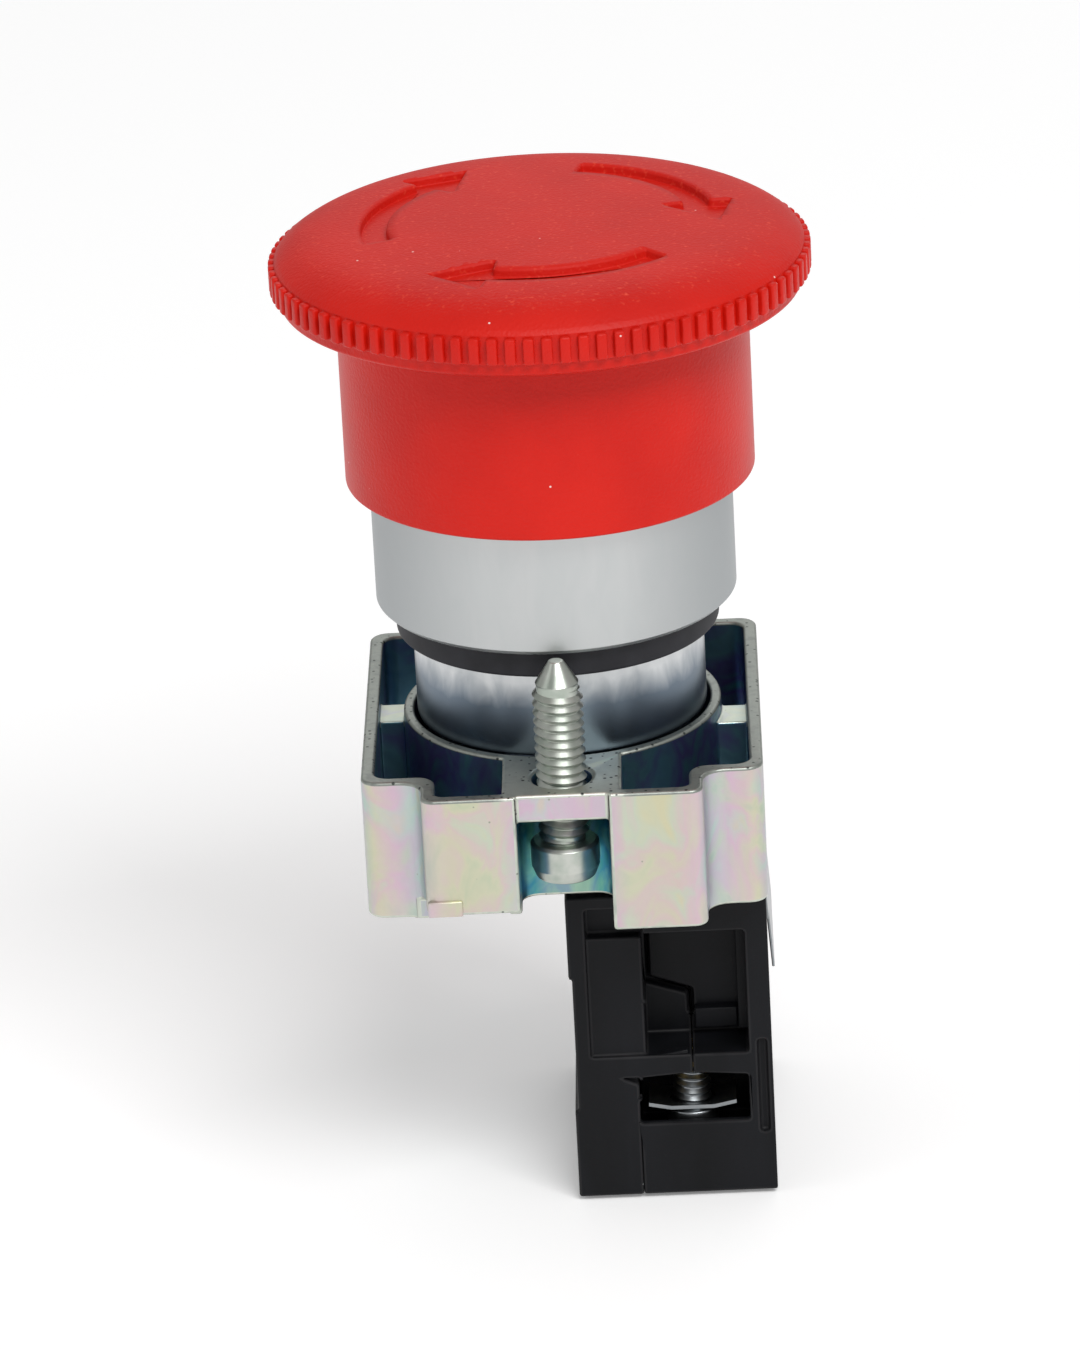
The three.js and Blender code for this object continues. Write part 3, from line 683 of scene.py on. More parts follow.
def makeCap():
    low, high = nodeBoxes["mushroom_cap"]
    root, lip, skirt = cap["toothRoot"], cap["shoulder"], cap["skirt"]
    dome = [lip * math.sin(math.pi / 2 * k / 28) for k in range(29)]
    body = turned("cap", [
        *[(r, domeHeight(r)) for r in dome], (root, cap["toothTop"] + 0.12, 0.1),
        (root, cap["toothBottom"] - 0.1, 0.15), (lip, cap["toothBottom"] - 0.15), (lip, 26.3, 0.3),
        (18.6, 26, 0.4), (skirt, 25.7, 0.7), (skirt, low.z, 0.22), (cap["skirtBore"], low.z, 0.2),
        (cap["skirtBore"], cap["ceiling"], 0.6), (cap["hub"], cap["ceiling"], 0.6),
        (cap["hub"], cap["hubBottom"], 0.25), (0, cap["hubBottom"]),
    ], 144)
    flat, round_ = cap["socketFlat"], cap["socketR"]
    socket = rod(round_, cap["hubBottom"] - 1, cap["socketTop"])
    for x0, x1 in ((flat, 9), (-9, -flat)):
        cut(socket, cuboid(x0, x1, -9, 9, cap["hubBottom"] - 2, cap["socketTop"] + 1))
    cut(body, socket, *[arrowCutter(-120 * k) for k in range(3)])
    half = cap["toothWidth"] / 2
    inner = root - 0.35 - high.x
    tooth = cuboid(inner, 0, -half, half, cap["toothBottom"], cap["toothTop"])
    softened(tooth, cap["toothEdge"], 3)
    teeth = grown(
        "teeth", ringTree, {"Teeth": cap["teeth"], "Radius": high.x * mm, "Tooth": tooth, "Material": red},
    )
    bpy.data.objects.remove(tooth)
    return smoothed(joined("cap", body, teeth), 38)


finished(makeCap(), "mushroom_cap", "mushroom", "cap_red", red)
print("red head made")


head = {
    "bezelEdge": 0.4, "chamfer": 0.35, "neck": 10.9, "neckBottom": -6.7, "spigot": 10.2, "spigotBore": 9.2,
    "underBezel": 2.3, "guide": 3.6, "guideTop": 13.4, "guideBottom": 12.2, "sealSeat": 5.4,
    "coneTop": (6.14, 6.8), "coneBottom": (7.9, -2.0), "lugs": (-13.7, -12.2), "lugReach": 10.85,
    "lugHalf": 25,
}


def arcBand(inner, outer, halfAngle, middle=0):  # corners of an arc-shaped band, angles from +X
    stops = 12
    angles = [math.radians(middle - halfAngle + 2 * halfAngle * k / stops) for k in range(stops + 1)]
    outside = [(outer * math.cos(a), outer * math.sin(a)) for a in angles]
    return outside + [(inner * math.cos(a), inner * math.sin(a)) for a in reversed(angles)]


def makeHeadBody():
    low, high = nodeBoxes["head_body"]
    bezel = high.x
    body = turned("head", [
        (head["sealSeat"], high.z, 0.2), (bezel, high.z, head["bezelEdge"]),
        (bezel, head["underBezel"] + head["chamfer"], 0.1),
        (bezel - head["chamfer"], head["underBezel"], 0.1),
        (head["neck"], head["underBezel"]), (head["neck"], head["neckBottom"], 0.35),
        (head["spigot"], head["neckBottom"] - 0.7, 0.2), (head["spigot"], low.z, 0.25),
        (head["spigotBore"], low.z, 0.2), (head["spigotBore"], -2.5, 0.3), head["coneBottom"],
        head["coneTop"], (head["coneTop"][0], head["guideBottom"], 0.3),
        (head["guide"], head["guideBottom"], 0.15),
        (head["guide"], head["guideTop"], 0.15), (head["sealSeat"], head["guideTop"], 0.1),
    ], 128)
    lug = prism("lug", arcBand(head["spigot"] - 0.3, head["lugReach"], head["lugHalf"]), "z", *head["lugs"])
    key = cuboid(-1, 1, -head["spigotBore"] - 0.3, -head["spigotBore"] + 1, low.z + 0.3, -3)
    for extra in (lug, key):
        softened(extra, 0.15)
    body = smoothed(joined("head", body, *bothSides(lug), *bothSides(key)))
    finished(body, "head_body", "root", "cast_zinc", satin, bright)
    for face in body.data.polygons:
        outer = math.hypot(face.center.x, face.center.y)
        if face.center.z < head["underBezel"] * mm and outer > (head["spigotBore"] + 0.5) * mm:
            face.material_index = 1
    return body


def makeRing(name, node, inner, edge, segments=96):
    low, high = nodeBoxes[node]
    outer = high.x
    return smoothed(turned(name, [
        (inner, low.z, edge), (outer, low.z, edge), (outer, high.z, edge), (inner, high.z, edge),
    ], segments, 6))


makeHeadBody()
finished(makeRing("gasket", "panel_gasket", 11.1, 0.3, 128), "panel_gasket", "root", "black_rubber", rubber)
finished(makeRing("seal", "stem_seal", 3.45, 0.35, 64), "stem_seal", "root", "black_rubber", rubber)
print("head body and seals made")


stem = {
    "radius": 3.2, "flat": 2.7, "flatFrom": 20.3, "hub": (5.4, 3.2, 6.8), "bore": 1.2, "boreZ": 5.0,
    "tail": 2.6, "tailTop": -8.5, "groove": (2.0, -10.8, -9.6),
}
foot = {"hole": 2.9, "recess": 4.6, "web": -9.6, "notchHalf": 1.4, "notchFloor": 7.8}
pin = {"tipR": 0.5, "heel": 2.2}
clipRing = {"inner": 2.3, "mouthHalf": 1.3}


def makeStem():
    low, high = nodeBoxes["stem"]
    r, tail = stem["radius"], stem["tail"]
    hubR, hubLow, hubHigh = stem["hub"]
    grooveR, grooveLow, grooveHigh = stem["groove"]
    body = turned("stem", [
        (0, low.z), (tail, low.z, 0.2), (tail, grooveLow), (grooveR, grooveLow), (grooveR, grooveHigh),
        (tail, grooveHigh), (tail, stem["tailTop"], 0.1), (r, stem["tailTop"], 0.2), (r, hubLow, 0.3),
        (hubR, hubLow, 0.3), (hubR, hubHigh, 0.3), (r, hubHigh, 0.3), (r, high.z, 0.4), (0, high.z),
    ], 64)
    flat = cuboid(stem["flat"], 9, -9, 9, stem["flatFrom"], high.z + 1)
    bore = moved(rod(stem["bore"], -9, 9), (0, 0, stem["boreZ"]), 90, "Y")
    return smoothed(cut(body, *bothSides(flat), bore))


def makeLatchPin(node, turn):
    low, high = nodeBoxes[node]
    radius = (high.z - low.z) / 2
    tip = max(abs(low.x), abs(high.x))
    body = turned("pin", [
        (0, pin["heel"]), (radius, pin["heel"], 0.15), (radius, tip - 0.6), (radius * 0.85, tip - 0.25),
        (pin["tipR"], tip), (0, tip),
    ], 48)
    moved(body, turn=90, axis="Y")
    return smoothed(moved(body, (0, 0, stem["boreZ"]), turn), 50)


def makePushFoot():
    low, high = nodeBoxes["push_foot"]
    body = turned("foot", [
        (foot["hole"], high.z, 0.15), (high.x, high.z, 0.3), (high.x, low.z, 0.3),
        (foot["recess"], low.z, 0.15),
        (foot["recess"], foot["web"], 0.15), (foot["hole"], foot["web"], 0.1),
    ], 96)
    half = foot["notchHalf"]
    notch = cuboid(-half, half, -high.x - 1, -foot["notchFloor"], low.z - 1, high.z + 1)
    return smoothed(cut(body, *bothSides(notch)))


def makeFootClip():
    low, high = nodeBoxes["foot_clip"]
    body = turned("clip", [
        (clipRing["inner"], low.z, 0.1), (high.x, low.z, 0.1), (high.x, high.z, 0.1),
        (clipRing["inner"], high.z, 0.1),
    ], 64, 3)
    half = clipRing["mouthHalf"]
    return smoothed(cut(body, cuboid(-half, half, -9, 0, low.z - 1, high.z + 1)))


finished(makeStem(), "stem", "mushroom", "white_acetal", white)
finished(makeLatchPin("latch_pin_right", 0), "latch_pin_right", "latch_right", "bright_steel", steel)
finished(makeLatchPin("latch_pin_left", 180), "latch_pin_left", "latch_left", "bright_steel", steel)
finished(makePushFoot(), "push_foot", "push_rod", "black_nylon", nylon)
finished(makeFootClip(), "foot_clip", "mushroom", "spring_steel", spring)
print("stem, latch and foot made")


springs = {  # coil radius, wire, height, turns, and the place of the coil's foot
    "return_spring": {
        "body": "root", "radius": 6.2, "wire": 0.9, "height": 12.7, "turns": 5.5, "foot": (0, 0, 15.2),
    },
    "latch_spring": {
        "body": "mushroom", "radius": 0.7, "wire": 0.3, "height": 3.8, "turns": 6, "foot": (-1.9, 0, 5),
    },
    "contact_spring": {
        "body": "plunger", "radius": 0.9, "wire": 0.3, "height": 2.1, "turns": 5, "foot": (7.15, 0, -31.15),
    },
    "plunger_spring": {
        "body": "root", "radius": 1.3, "wire": 0.4, "height": 8.0, "turns": 8, "foot": (7.15, 0, -40.6),
    },
}


def makeSpring(name):
    size = springs[name]
    body = coil(name, spring, size["radius"], size["wire"], size["height"], size["turns"])
    moved(body, (0, 0, size["wire"] / 2))
    if name == "latch_spring":
        moved(body, turn=90, axis="Y")
    return finished(smoothed(moved(body, size["foot"])), name, size["body"], "spring_steel", spring)


for name in springs:
    made = makeSpring(name)
    if name == "return_spring":
        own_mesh(made)
    if name == "plunger_spring":
        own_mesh(made)
print("springs wound")


collar = {
    "sideX": 14.85, "frontY": 15.0, "lobeY": 18.9, "lobeIn": 3.4, "lobeOut": 10.35, "wall": 1.0,
    "ringBore": 11.15, "ring": 11.95, "shortLobe": -15.8, "bridgeBottom": -8.75, "bridgeFront": 18.6,
    "pocketBack": 12.0, "ribTop": -7.8, "ribHalf": 1.75, "ribShift": 1.5, "archR": 13.0, "archRise": 0.6,
    "clampY": 15.0, "tapped": 2.2, "ledge": (-11.9, -10.5), "ledgeIn": 10.5, "edge": 0.24,
}


def allQuarters(quarter):  # the front right quarter's corners carried round to all four
    right = quarter + [(x, -y, radius) for x, y, radius in reversed(quarter)]
    return right + [(-x, y, radius) for x, y, radius in reversed(right)]


def makeCollar():
    c = collar
    low, high = nodeBoxes["mounting_collar"]
    down, up = low.z - 1, high.z + 1
    wall, lobeOut, lobeY, side, front = c["wall"], c["lobeOut"], c["lobeY"], c["sideX"], c["frontY"]
    body = prism("collar", allQuarters([
        (lobeOut, -lobeY, 1.0), (lobeOut, -front, 1.7), (side, -front, 1.4),
    ]), "z", low.z, high.z, 6)
    hollow = prism("hollow", allQuarters([
        (lobeOut - wall, -lobeY + wall, 0.7), (lobeOut - wall, -front + wall, 1.4),
        (side - wall, -front + wall, 1.1),
    ]), "z", down, up, 6)
    inner = c["lobeIn"] + wall
    bridge = prism("bridge", [
        (-inner, -lobeY - 2), (inner, -lobeY - 2), (inner, -8), (-inner, -8),
    ], "z", down - 1, up + 1)
    rib = cuboid(
        0, side + 2, -c["ribShift"] - c["ribHalf"], -c["ribShift"] + c["ribHalf"], down - 1, c["ribTop"],
    )
    cut(hollow, rod(c["ring"], down - 1, up + 1, segments=128), *bothSides(bridge), *bothSides(rib))
    softenUpright(hollow, 0.45)
    cut(body, hollow, rod(c["ringBore"], down, up, segments=128))

    lobeIn = c["lobeIn"]
    pocket = prism("pocket", [
        (-lobeIn, -lobeY - 1), (lobeIn, -lobeY - 1), (lobeIn, -c["pocketBack"], 1.3),
        (-lobeIn, -c["pocketBack"], 1.3),
    ], "z", down, c["bridgeBottom"])
    face = cuboid(-lobeIn, lobeIn, -lobeY - 1, -c["bridgeFront"], down, up)
    tapped = rod(c["tapped"], c["bridgeBottom"] - 1, up, 0, -c["clampY"])
    sink = moved(
        turned("sink", [(0, high.z - 0.5), (2.1, high.z - 0.5), (2.9, up), (0, up)], 48),
        (0, -c["clampY"], 0),
    )
    archCentre = low.z + c["archRise"] - c["archR"]
    arch = moved(rod(c["archR"], -20, 0, segments=192), (0, -20, archCentre), -90, "X")
    combine(arch, "INTERSECT", [cuboid(-lobeIn - 0.3, lobeIn + 0.3, -19, -11, down, up)])
    short = cuboid(-lobeOut - 2, -lobeIn, -lobeY - 1, -front - 0.3, down, c["shortLobe"])
    tools = [pocket, face, tapped, sink, arch, short]
    cut(body, *[tool for single in tools for tool in bothSides(single)])
    ledge = prism("ledge", arcBand(c["ledgeIn"], c["ringBore"] + 0.3, 25), "z", *c["ledge"])
    combine(body, "UNION", bothSides(ledge))
    softened(body, c["edge"], 3, worn=True)
    pad = cuboid(-10.2, -7.65, -lobeY - 0.22, -lobeY + 0.3, c["shortLobe"], -14.6)
    softened(pad, 0.1)
    body = joined("collar", body, *bothSides(pad))
    smoothed(body, 40)
    finished(
        body, "mounting_collar", "root", "passivated_zinc",
        zincFace, zincRim, zincPaintedHighlight, zincHollowShaded, zincPocketShaded, zincEdge,
    )
    paintCollar(body)
    return body


def softenUpright(obj, radius):  # rounds the vertical inside corners that a casting needs
    bevel = obj.modifiers.new("fillet", "BEVEL")
    bevel.width = radius * mm
    bevel.segments = 5
    bevel.limit_method = "ANGLE"
    bevel.angle_limit = math.radians(50)
    return settle(obj)


def paintCollar(obj):  # each zone of the casting takes its own film colour; upward faces at the bridge and rib tops take a painted highlight, and the hollow and pocket walls take painted shade
    c = collar
    top = nodeBoxes["mounting_collar"][1].z
    for face in obj.data.polygons:
        x, y, z = (abs(v) / mm for v in face.center)
        z = -z
        up = face.normal.z > 0.6
        nearFront = y > c["bridgeFront"] - 0.45 or x > c["sideX"] - 0.35
        stepFace = y > c["frontY"] - 0.35 and x > c["lobeOut"] - 0.35
        inPocket = x < c["lobeIn"] + 0.1 and y > c["pocketBack"] - 0.2 and z < c["bridgeBottom"] + 0.2
        if face.material_index == 1:
            face.material_index = 1 if z > top - 0.32 else 5
            continue
        # upward faces at the bridge top and the rib tops take the painted highlight
        if up and x < c["lobeIn"] + 1.2 and y > c["ring"] - 1.2 and z > top - 0.3:
            face.material_index = 2
        elif up and z > top - 0.3:
            face.material_index = 1
        elif up and z > c["ribTop"] - 0.3:
            face.material_index = 2
        elif face.normal.z < -0.6:
            face.material_index = 0
        # the screw pocket's walls take painted shade
        elif inPocket:
            face.material_index = 4
        elif nearFront or stepFace:
            face.material_index = 0
        # the remaining walls, inside the hollows, take painted shade
        else:
            face.material_index = 3


makeCollar()
print("collar cast")


clamp = {
    "y": 15.0, "major": 1.88, "core": 1.55, "pitch": 0.7, "threadTop": 0.5, "tip": (0.53, 2.56),
    "cone": (1.6, 0.9),
    "headTop": -11.65, "headR": 2.55, "bevel": (2.2, -14.4), "slotHalf": 0.4, "slotDepth": 1.2,
}
terminal = {
    "x": 8.5, "y": 9.2, "core": 1.2, "major": 1.47, "pitch": 0.6, "tip": -32.1, "headTop": -36.2,
    "headR": 1.95,
    "bottom": -38.1, "slotHalf": 0.3, "slotDepth": 0.9,
}


def thread(material, major, pitch, low, high):  # ridge wound round a core, fading out at both ends
    height = high - low
    ridge = pitch * 0.62
    turns = height / pitch
    body = coil(
        "thread", material, major - ridge, ridge * 2, height + ridge * 2, turns, 0, 4, 0.5 / turns, 40,
    )
    return moved(body, (0, 0, low))


def makeClampScrew(side):
    c = clamp
    core = turned("screw", [
        (0, c["tip"][1]), (c["tip"][0], c["tip"][1], 0.15), c["cone"], (c["core"], c["cone"][1] - 0.2),
        (c["core"], c["headTop"] - 0.1, 0.1), (0, c["headTop"] - 0.1),
    ], 48)
    low = nodeBoxes["clamp_screw_" + side][0].z
    top = turned("head", [
        (0, c["headTop"] + 0.05), (c["headR"] - 0.25, c["headTop"] + 0.05),
        (c["headR"], c["headTop"] - 0.15, 0.12),
        (c["headR"], low + 0.9, 0.25), (c["bevel"][0], low, 0.2), (0, low),
    ], 96)
    half = c["slotHalf"]
    cut(top, cuboid(-9, 9, -half, half, low - 1, low + c["slotDepth"]))
    ridge = thread(steel, c["major"], c["pitch"], c["headTop"] + 0.1, c["threadTop"])
    body = smoothed(joined("screw", core, top, ridge), 34)
    moved(body, (0, -c["y"] if side == "front" else c["y"], 0))
    return finished(body, "clamp_screw_" + side, "clamp_" + side, "bright_steel", steel)


def makeTerminalScrew(side):
    t = terminal
    core = turned("screw", [
        (0, t["tip"]), (t["core"] - 0.2, t["tip"], 0.1), (t["core"], t["tip"] - 0.3),
        (t["core"], t["headTop"]),
        (t["headR"], t["headTop"], 0.15), (t["headR"], t["bottom"], 0.2), (0, t["bottom"]),
    ], 48)
    half = t["slotHalf"]
    slots = [cuboid(-3, 3, -half, half, t["bottom"] - 1, t["bottom"] + t["slotDepth"])]
    slots.append(copied(slots[0], turn=90))
    cut(core, *slots)
    ridge = thread(steel, t["major"], t["pitch"], t["headTop"], t["tip"] - 0.35)
    body = smoothed(joined("screw", core, ridge), 34)
    moved(body, (t["x"], -t["y"] if side == "front" else t["y"], 0))
    # painted shade: the terminal screw takes the darker drawn-steel finish to stand for the shade it sits in
    # inside the block's mouth
    return finished(body, "terminal_screw_" + side, "terminal_" + side, "bright_steel", spring)


for side in ("front", "rear"):
    makeClampScrew(side)
    makeTerminalScrew(side)
print("screws turned")


block = {
    "skin": 1.45, "upperRoomY": 6.9, "lowerRoomY": 5.7, "upperRoomBottom": -31.0, "edge": 0.2,
    "cavity": (5.2, 12.9, -30.9, -20.9), "cavityDepth": 4.3, "panelLeft": 1.05, "panelTop": -21.25,
    "panelDepth": 0.35, "headroomTop": -18.8, "headroomDepth": 1.4, "partingX": 8.65, "step": (-26.5, -27.6),
    "mouth": (4.55, 12.8, -36.5, -32.75), "room": (3.6, 13.2, -38.4, -31.5), "roomNear": 6.3, "roomFar": 11.4,
    "driverHole": 2.5, "screwHole": 1.75, "stripSlot": (13.55, 14.25, -37.5, -29.9), "parting": 0.004,
    "groove": 0.46, "grooveBottom": -29.4, "barTop": -28.7, "barBottom": -30.3, "barReach": 0.9,
    "flankRecess": (0.25, -35.2, -24.4),
    "noseHole": 1.9, "clipX": 10.9, "clipY": 9.3, "clipRecessX": 14.15,
}


def endDetail():  # what is cut from the block's front end
    b = block
    low, high = nodeBoxes["block_shell_left"]
    face = low.y
    out = face - 1
    left, right, bottom, top = b["cavity"]
    mouthLeft, mouthRight, mouthBottom, mouthTop = b["mouth"]
    roomLeft, roomRight, roomBottom, roomTop = b["room"]
    far, near = -b["roomFar"], -b["roomNear"]
    slotLeft, slotRight, slotBottom, slotTop = b["stripSlot"]
    middle = (mouthLeft + mouthRight) / 2
    mouth = prism("mouth", [
        (mouthLeft, mouthBottom, 0.25), (mouthRight, mouthBottom, 0.25), (mouthRight, mouthTop),
        (middle, mouthTop + 0.3), (mouthLeft, mouthTop),
    ], "y", out, far + 0.1)
    funnel = prism("funnel", [
        (mouthLeft - 1.25, mouthTop + 0.05), (mouthLeft + 0.1, mouthTop - 0.55),
        (mouthLeft + 0.1, mouthTop + 0.05),
    ], "y", out, face + 0.6)
    return [
        cuboid(left, right, out, face + b["cavityDepth"], bottom, top),
        cuboid(b["panelLeft"], left + 0.1, out, face + b["panelDepth"], bottom, b["panelTop"] + 0.1),
        cuboid(b["panelLeft"], left + 0.1, out, face + b["headroomDepth"], b["panelTop"], b["headroomTop"]),
        mouth, funnel, partingGroove(face + b["cavityDepth"]),
        cuboid(roomLeft, roomRight, far, near, roomBottom, roomTop),
        cuboid(4.9, 9.5, near - 0.1, -b["lowerRoomY"] + 0.1, -32.8, roomTop),
        rod(b["driverHole"], low.z - 1, roomBottom + 0.1, terminal["x"], -terminal["y"]),
        cuboid(slotLeft, slotRight, out, face + 0.5, slotBottom, slotTop),
    ]


def partingGroove(wall):  # the open stretch of the parting line in the back of the cavity
    b = block
    left, low = b["cavity"][0], b["grooveBottom"]
    wide, (stepTop, stepBottom) = b["groove"], b["step"]
    x = b["partingX"]
    return prism("groove", [
        (left - 0.05, b["cavity"][3]), (left + wide, b["cavity"][3]), (left + wide, stepTop + wide / 2),
        (x + wide / 2, stepBottom + wide / 2), (x + wide / 2, low), (x - wide / 2, low),
        (x - wide / 2, stepBottom - wide / 2), (left - 0.05, stepTop - wide / 2),
    ], "y", wall - 0.1, wall + 0.85)


def blockBody():
    b = block
    low = nodeBoxes["block_shell_left"][0]
    high = nodeBoxes["block_shell_right"][1]
    top = nodeBoxes["block_shell_left"][1].z
    middleX = (low.x + high.x) / 2
    body = cuboid(low.x, high.x, low.y, -low.y, low.z, top)
    left, right = low.x + b["skin"], high.x - b["skin"]
    upY, downY = b["upperRoomY"], b["lowerRoomY"]
    cut(body,
        cuboid(left, right, -upY, upY, b["upperRoomBottom"], top - 1.5),
        cuboid(left, right, -downY, downY, low.z + 1.5, -30),
        rod(b["noseHole"], top - 2, top + 1, middleX),
        cuboid(b["clipX"], high.x + 1, -b["clipY"], b["clipY"], top - 0.85, top + 1),
        cuboid(b["clipRecessX"], high.x + 1, -b["clipY"], b["clipY"], top - 8.9, top + 1))
    return cut(body, *[tool for single in endDetail() for tool in bothEnds(single)])


def partingHalf(side):  # the side of the stepped parting line that holds one moulding
    shift = side * block["parting"]
    far = side * 40
    cavityLeft, mouthLeft, x = block["cavity"][0], block["mouth"][0], block["partingX"]
    stepTop, stepBottom = block["step"]
    return prism("half", [
        (cavityLeft + shift, 0), (cavityLeft + shift, stepTop + shift), (x + shift, stepBottom + shift),
        (x + shift, -34 - shift), (mouthLeft + shift, -34.6 - shift), (mouthLeft + shift, -60),
        (far, -60), (far, 0),
    ], "y", -20, 20)


def makeBlock():
    left = blockBody()
    right = copied(left)
    combine(left, "INTERSECT", [partingHalf(-1)])
    combine(right, "INTERSECT", [partingHalf(1)])
    b, low = block, nodeBoxes["block_shell_left"][0]
    depth, bottom, top = b["flankRecess"]
    cut(left, cuboid(low.x - 1, low.x + depth, -20, 20, bottom, top))
    for half in (left, right):  # the screws' blind holes leave too thin a skin to round, so they come last
        softened(half, b["edge"], worn=True)
        blind = rod(
            b["screwHole"], b["room"][3] - 0.1, b["cavity"][2] - 0.12, terminal["x"], -terminal["y"],
        )
        cut(half, *bothEnds(blind))
    wall = low.y + b["cavityDepth"]
    bar = cuboid(
        b["partingX"] + 0.3, b["cavity"][1] - 0.75, wall - b["barReach"], wall + 0.3, b["barBottom"],
        b["barTop"],
    )
    flank = cuboid(
        b["cavity"][1] - 0.7, b["cavity"][1] + 0.2, wall - 1.6, wall + 0.3, b["barBottom"] + 0.1,
        b["cavity"][3] + 0.1,
    )
    ridge = prism("ridge", [
        (b["partingX"] - 2.6, b["cavity"][2]), (b["partingX"] - 0.3, b["cavity"][2] + 0.38),
        (b["partingX"] - 0.3, b["cavity"][2]),
    ], "y", low.y + 0.08, low.y + 0.9)
    for extra in (bar, flank, ridge):
        softened(extra, 0.12)
    left = joined("left", left, *bothEnds(ridge))
    right = joined("right", right, *bothEnds(bar), *bothEnds(flank))
    top = nodeBoxes["block_shell_left"][1].z
    peg = cuboid(12, 13.4, 9.75, 11.6, top - 0.5, nodeBoxes["block_shell_right"][1].z)
    softened(peg, 0.2)
    right = joined("right", right, *bothEnds(peg))
    finished(smoothed(left), "block_shell_left", "root", "black_nylon", nylon, nylonEdge)
    finished(smoothed(right), "block_shell_right", "root", "black_nylon", nylon, nylonEdge)


makeBlock()
print("block shells moulded")


def makeClip():  # spring blade: a flat leg in the block's top and a finger down its side
    low, high = nodeBoxes["retaining_clip"]
    blade = prism("clip", [
        (low.x, -18.05), (14.62, -18.05, 0.4), (high.x, low.z, 0.05), (high.x - 0.2, low.z, 0.05),
        (14.42, -18.4, 0.1), (low.x, -18.4),
    ], "y", low.y, high.y)
    notch = cuboid(13, 17, -9.5, -7.2, -27, -21.5)
    cut(blade, *bothEnds(notch))
    return softened(blade, 0.06)


def makePlunger():
    low, high = nodeBoxes["block_plunger"]
    x = (low.x + high.x) / 2
    nose = turned("nose", [(0, -26), (1.6, -26), (1.6, high.z, 0.5), (0, high.z)], 48)
    moved(nose, (x, 0, 0))
    bar = cuboid(low.x, high.x, -1.4, 1.4, low.z, -25)
    cut(bar, cuboid(x - 1.45, x + 1.45, -2, 2, -31.3, -27.9))
    softened(bar, 0.2)
    return smoothed(joined("plunger", smoothed(nose), bar))


def makeBridge():
    low, high = nodeBoxes["contact_bridge"]
    end = high.y
    blade = prism("bridge", [
        (-end, -28.3), (-end, -28.7), (-1.9, -28.7, 0.4), (-1.5, -28.9, 0.3), (1.5, -28.9, 0.3),
        (1.9, -28.7, 0.4),
        (end, -28.7), (end, -28.3), (1.9, -28.3, 0.3), (1.5, -28.5, 0.4), (-1.5, -28.5, 0.4),
        (-1.9, -28.3, 0.3),
    ], "x", low.x, high.x)
    return softened(blade, 0.08)


def makeFixedContact():  # terminal plate, riser and inner arm in one bent strip
    low, high = nodeBoxes["fixed_contact_front"]
    x = (nodeBoxes["contact_bridge"][0].x + nodeBoxes["contact_bridge"][1].x) / 2
    bend = prism("contact", [
        (low.y, -31.7), (low.y, -32.5), (-4.8, -32.5, 0.9), (-4.8, -26.8, 0.2), (high.y, -26.8),
        (high.y, -26),
        (-5.5, -26, 0.8), (-5.5, -31.7, 0.2),
    ], "x", x - 1.9, x + 1.9)
    combine(bend, "UNION", [cuboid(low.x, high.x, low.y, -6.9, -32.5, -31.7)])
    cut(bend, rod(1.7, -34, -30, terminal["x"], -terminal["y"]))
    return softened(bend, 0.1)


def makeTip(node, up):  # domed silver rivet
    low, high = nodeBoxes[node]
    centre = (low + high) / 2
    near, far = (low.z, high.z) if up else (high.z, low.z)
    body = turned(
        "tip", [(0, near), (0.8, near), (0.8, far + (near - far) * 0.45, 0.1), (0.45, far, 0.2), (0, far)],
        48,
    )
    return smoothed(moved(body, (centre.x, centre.y, 0)))


def makeWasher():  # bowed plate with turned-up ends that grips the wire
    half, thick = 3.3, 0.3
    top = [(-half, -35.25), (-1.6, -35.6, 1.5), (1.6, -35.6, 1.5), (half, -35.25)]
    under = [(a, b - thick, *rest) for a, b, *rest in reversed(top)]
    bar = prism("washer", top + under, "y", -1.9, 1.9, 6)
    cut(bar, rod(1.75, -37, -33))
    return moved(softened(bar, 0.07), (terminal["x"], -terminal["y"], 0))


finished(makeClip(), "retaining_clip", "clip", "spring_steel", spring)
finished(makePlunger(), "block_plunger", "plunger", "white_acetal", white)
finished(makeBridge(), "contact_bridge", "plunger", "copper_strip", copper)
contact, washer = makeFixedContact(), makeWasher()
for side, piece in zip(("front", "rear"), bothEnds(contact)):
    finished(piece, "fixed_contact_" + side, "root", "brass_strip", brass)
# painted shade: the washers take the darker drawn-steel finish to stand for the shade inside the block's
# mouth
for side, piece in zip(("front", "rear"), bothEnds(washer)):
    finished(piece, "clamp_washer_" + side, "terminal_" + side, "bright_steel", spring)
for side in ("front", "rear"):
    finished(makeTip("fixed_tip_" + side, False), "fixed_tip_" + side, "root", "silver_contact", silver)
    finished(makeTip("bridge_tip_" + side, True), "bridge_tip_" + side, "plunger", "silver_contact", silver)
print("contacts made")


studio = {
    "lens": 211.2, "distance": 593.8, "elevation": 22.05, "azimuth": 1.51, "roll": -3.04, "slideX": 1.353,
    "slideY": 4.35, "world": 0.45, "floorGap": 0.3,
}


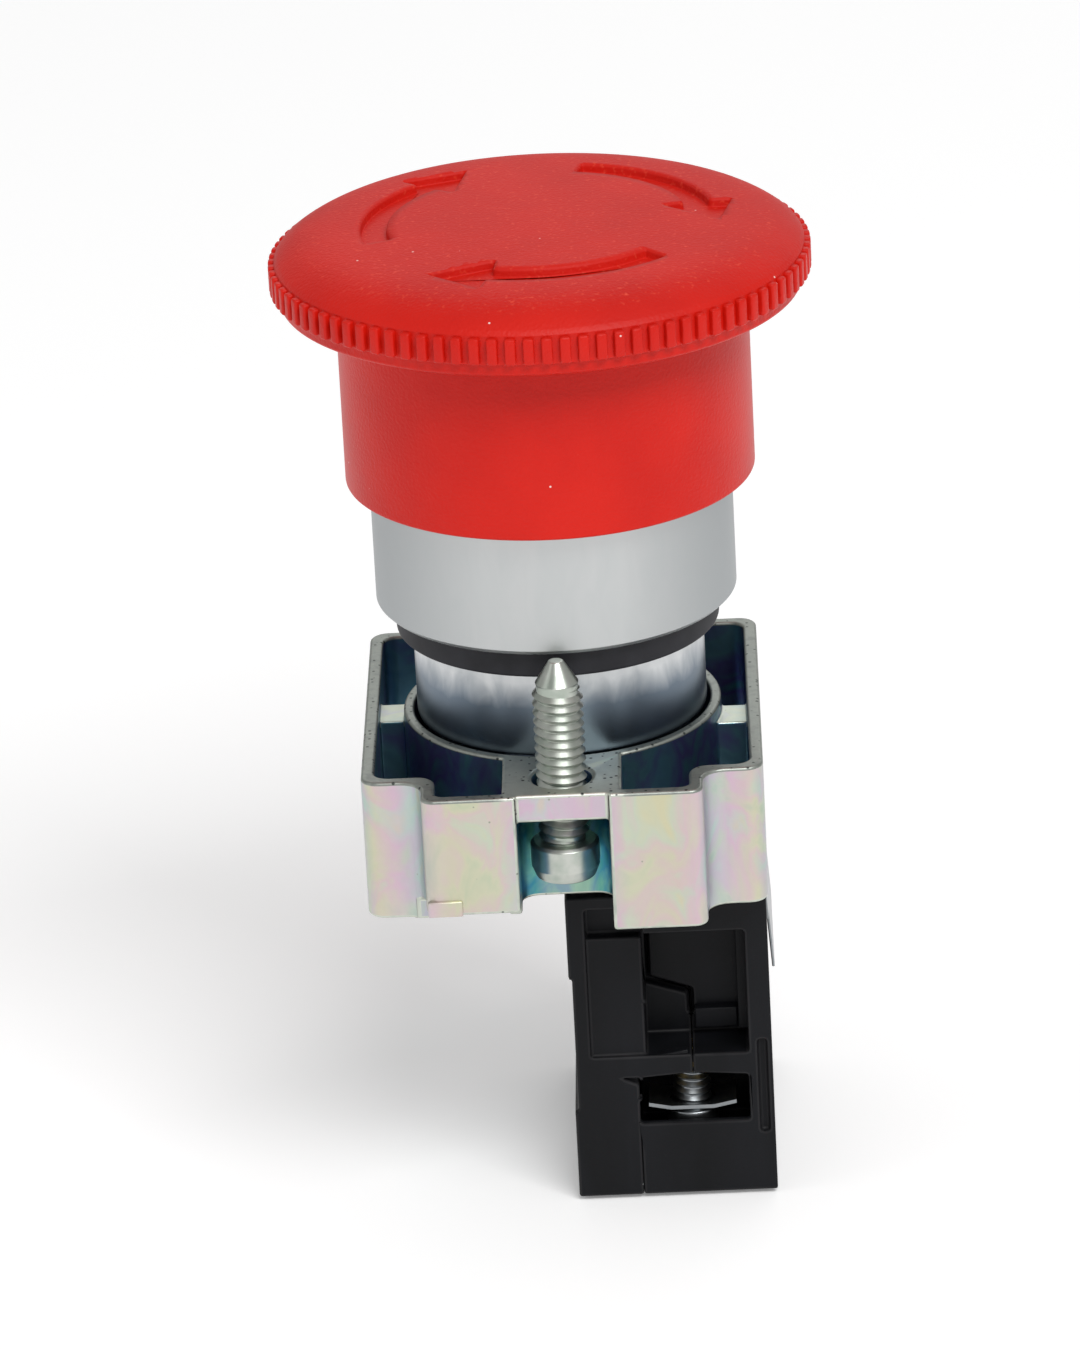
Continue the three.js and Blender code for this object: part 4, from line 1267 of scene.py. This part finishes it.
def makeCamera():
    s = studio
    e, a, roll = (math.radians(s[k]) for k in ("elevation", "azimuth", "roll"))
    back = Vector((math.sin(a) * math.cos(e), -math.cos(a) * math.cos(e), math.sin(e)))
    level = Vector((math.cos(a), math.sin(a), 0))
    upright = back.cross(level)
    right = level * math.cos(roll) + upright * math.sin(roll)
    up = upright * math.cos(roll) - level * math.sin(roll)
    camera = bpy.data.objects.new("camera", bpy.data.cameras.new("camera"))
    camera.data.lens = s["lens"]
    camera.data.sensor_width = 36
    camera.data.clip_start = 0.01
    rotation = Matrix((right, up, back)).transposed().to_4x4()
    place = (back * s["distance"] - right * s["slideX"] - up * s["slideY"]) * mm
    camera.matrix_world = Matrix.Translation(place) @ rotation
    bpy.context.scene.collection.objects.link(camera)
    bpy.context.scene.camera = camera


def addLight(name, place, target, size, power, colour="#FFFFFF"):
    light = bpy.data.lights.new(name, "AREA")
    light.shape = "RECTANGLE"
    light.size, light.size_y = size
    light.energy = power
    light.color = hexColour(colour)[:3]
    obj = bpy.data.objects.new(name, light)
    obj.location = place
    obj.rotation_euler = (Vector(target) - Vector(place)).to_track_quat("-Z", "Y").to_euler()
    bpy.context.scene.collection.objects.link(obj)


def makeFloor():
    low = cadBox[0].z / mm - studio["floorGap"]
    floor = prism("floor", [(-4000, -4000), (4000, -4000), (4000, 4000), (-4000, 4000)], "z", low - 5, low)
    material, tree, shader, place = newMaterial("whitePaintedFloor", Roughness=0.9, Emission_Strength=0.18)
    tone = blended(tree, patches(tree, place, 900, 2.0), 0, 1, "#F4F4F4", "#FAFAFA")
    tree.links.new(tone, shader.inputs["Base Color"])
    floor.data.materials.append(material)


def makeLight():
    world = bpy.data.worlds.new("studio")
    world.use_nodes = True
    tree = world.node_tree
    tree.nodes.clear()
    glow = addNode(tree, "ShaderNodeBackground", {"Color": hexColour("#FFFFFF"), "Strength": studio["world"]})
    addNode(tree, "ShaderNodeOutputWorld", {"Surface": glow.outputs[0]})
    bpy.context.scene.world = world
    addLight("frontSoftbox", (0.35, -0.75, 0.95), (0, 0, 0), (0.8, 0.5), 10.5)
    addLight("leftSoftbox", (-0.8, -0.3, 0.35), (0, 0, 0), (0.35, 0.7), 0.6)
    addLight("backSoftbox", (0.1, 0.9, 0.5), (0, 0, 0), (0.9, 0.5), 1.2)
    bpy.context.scene.view_settings.view_transform = "Standard"


makeCamera()
makeFloor()
makeLight()
print("studio set")
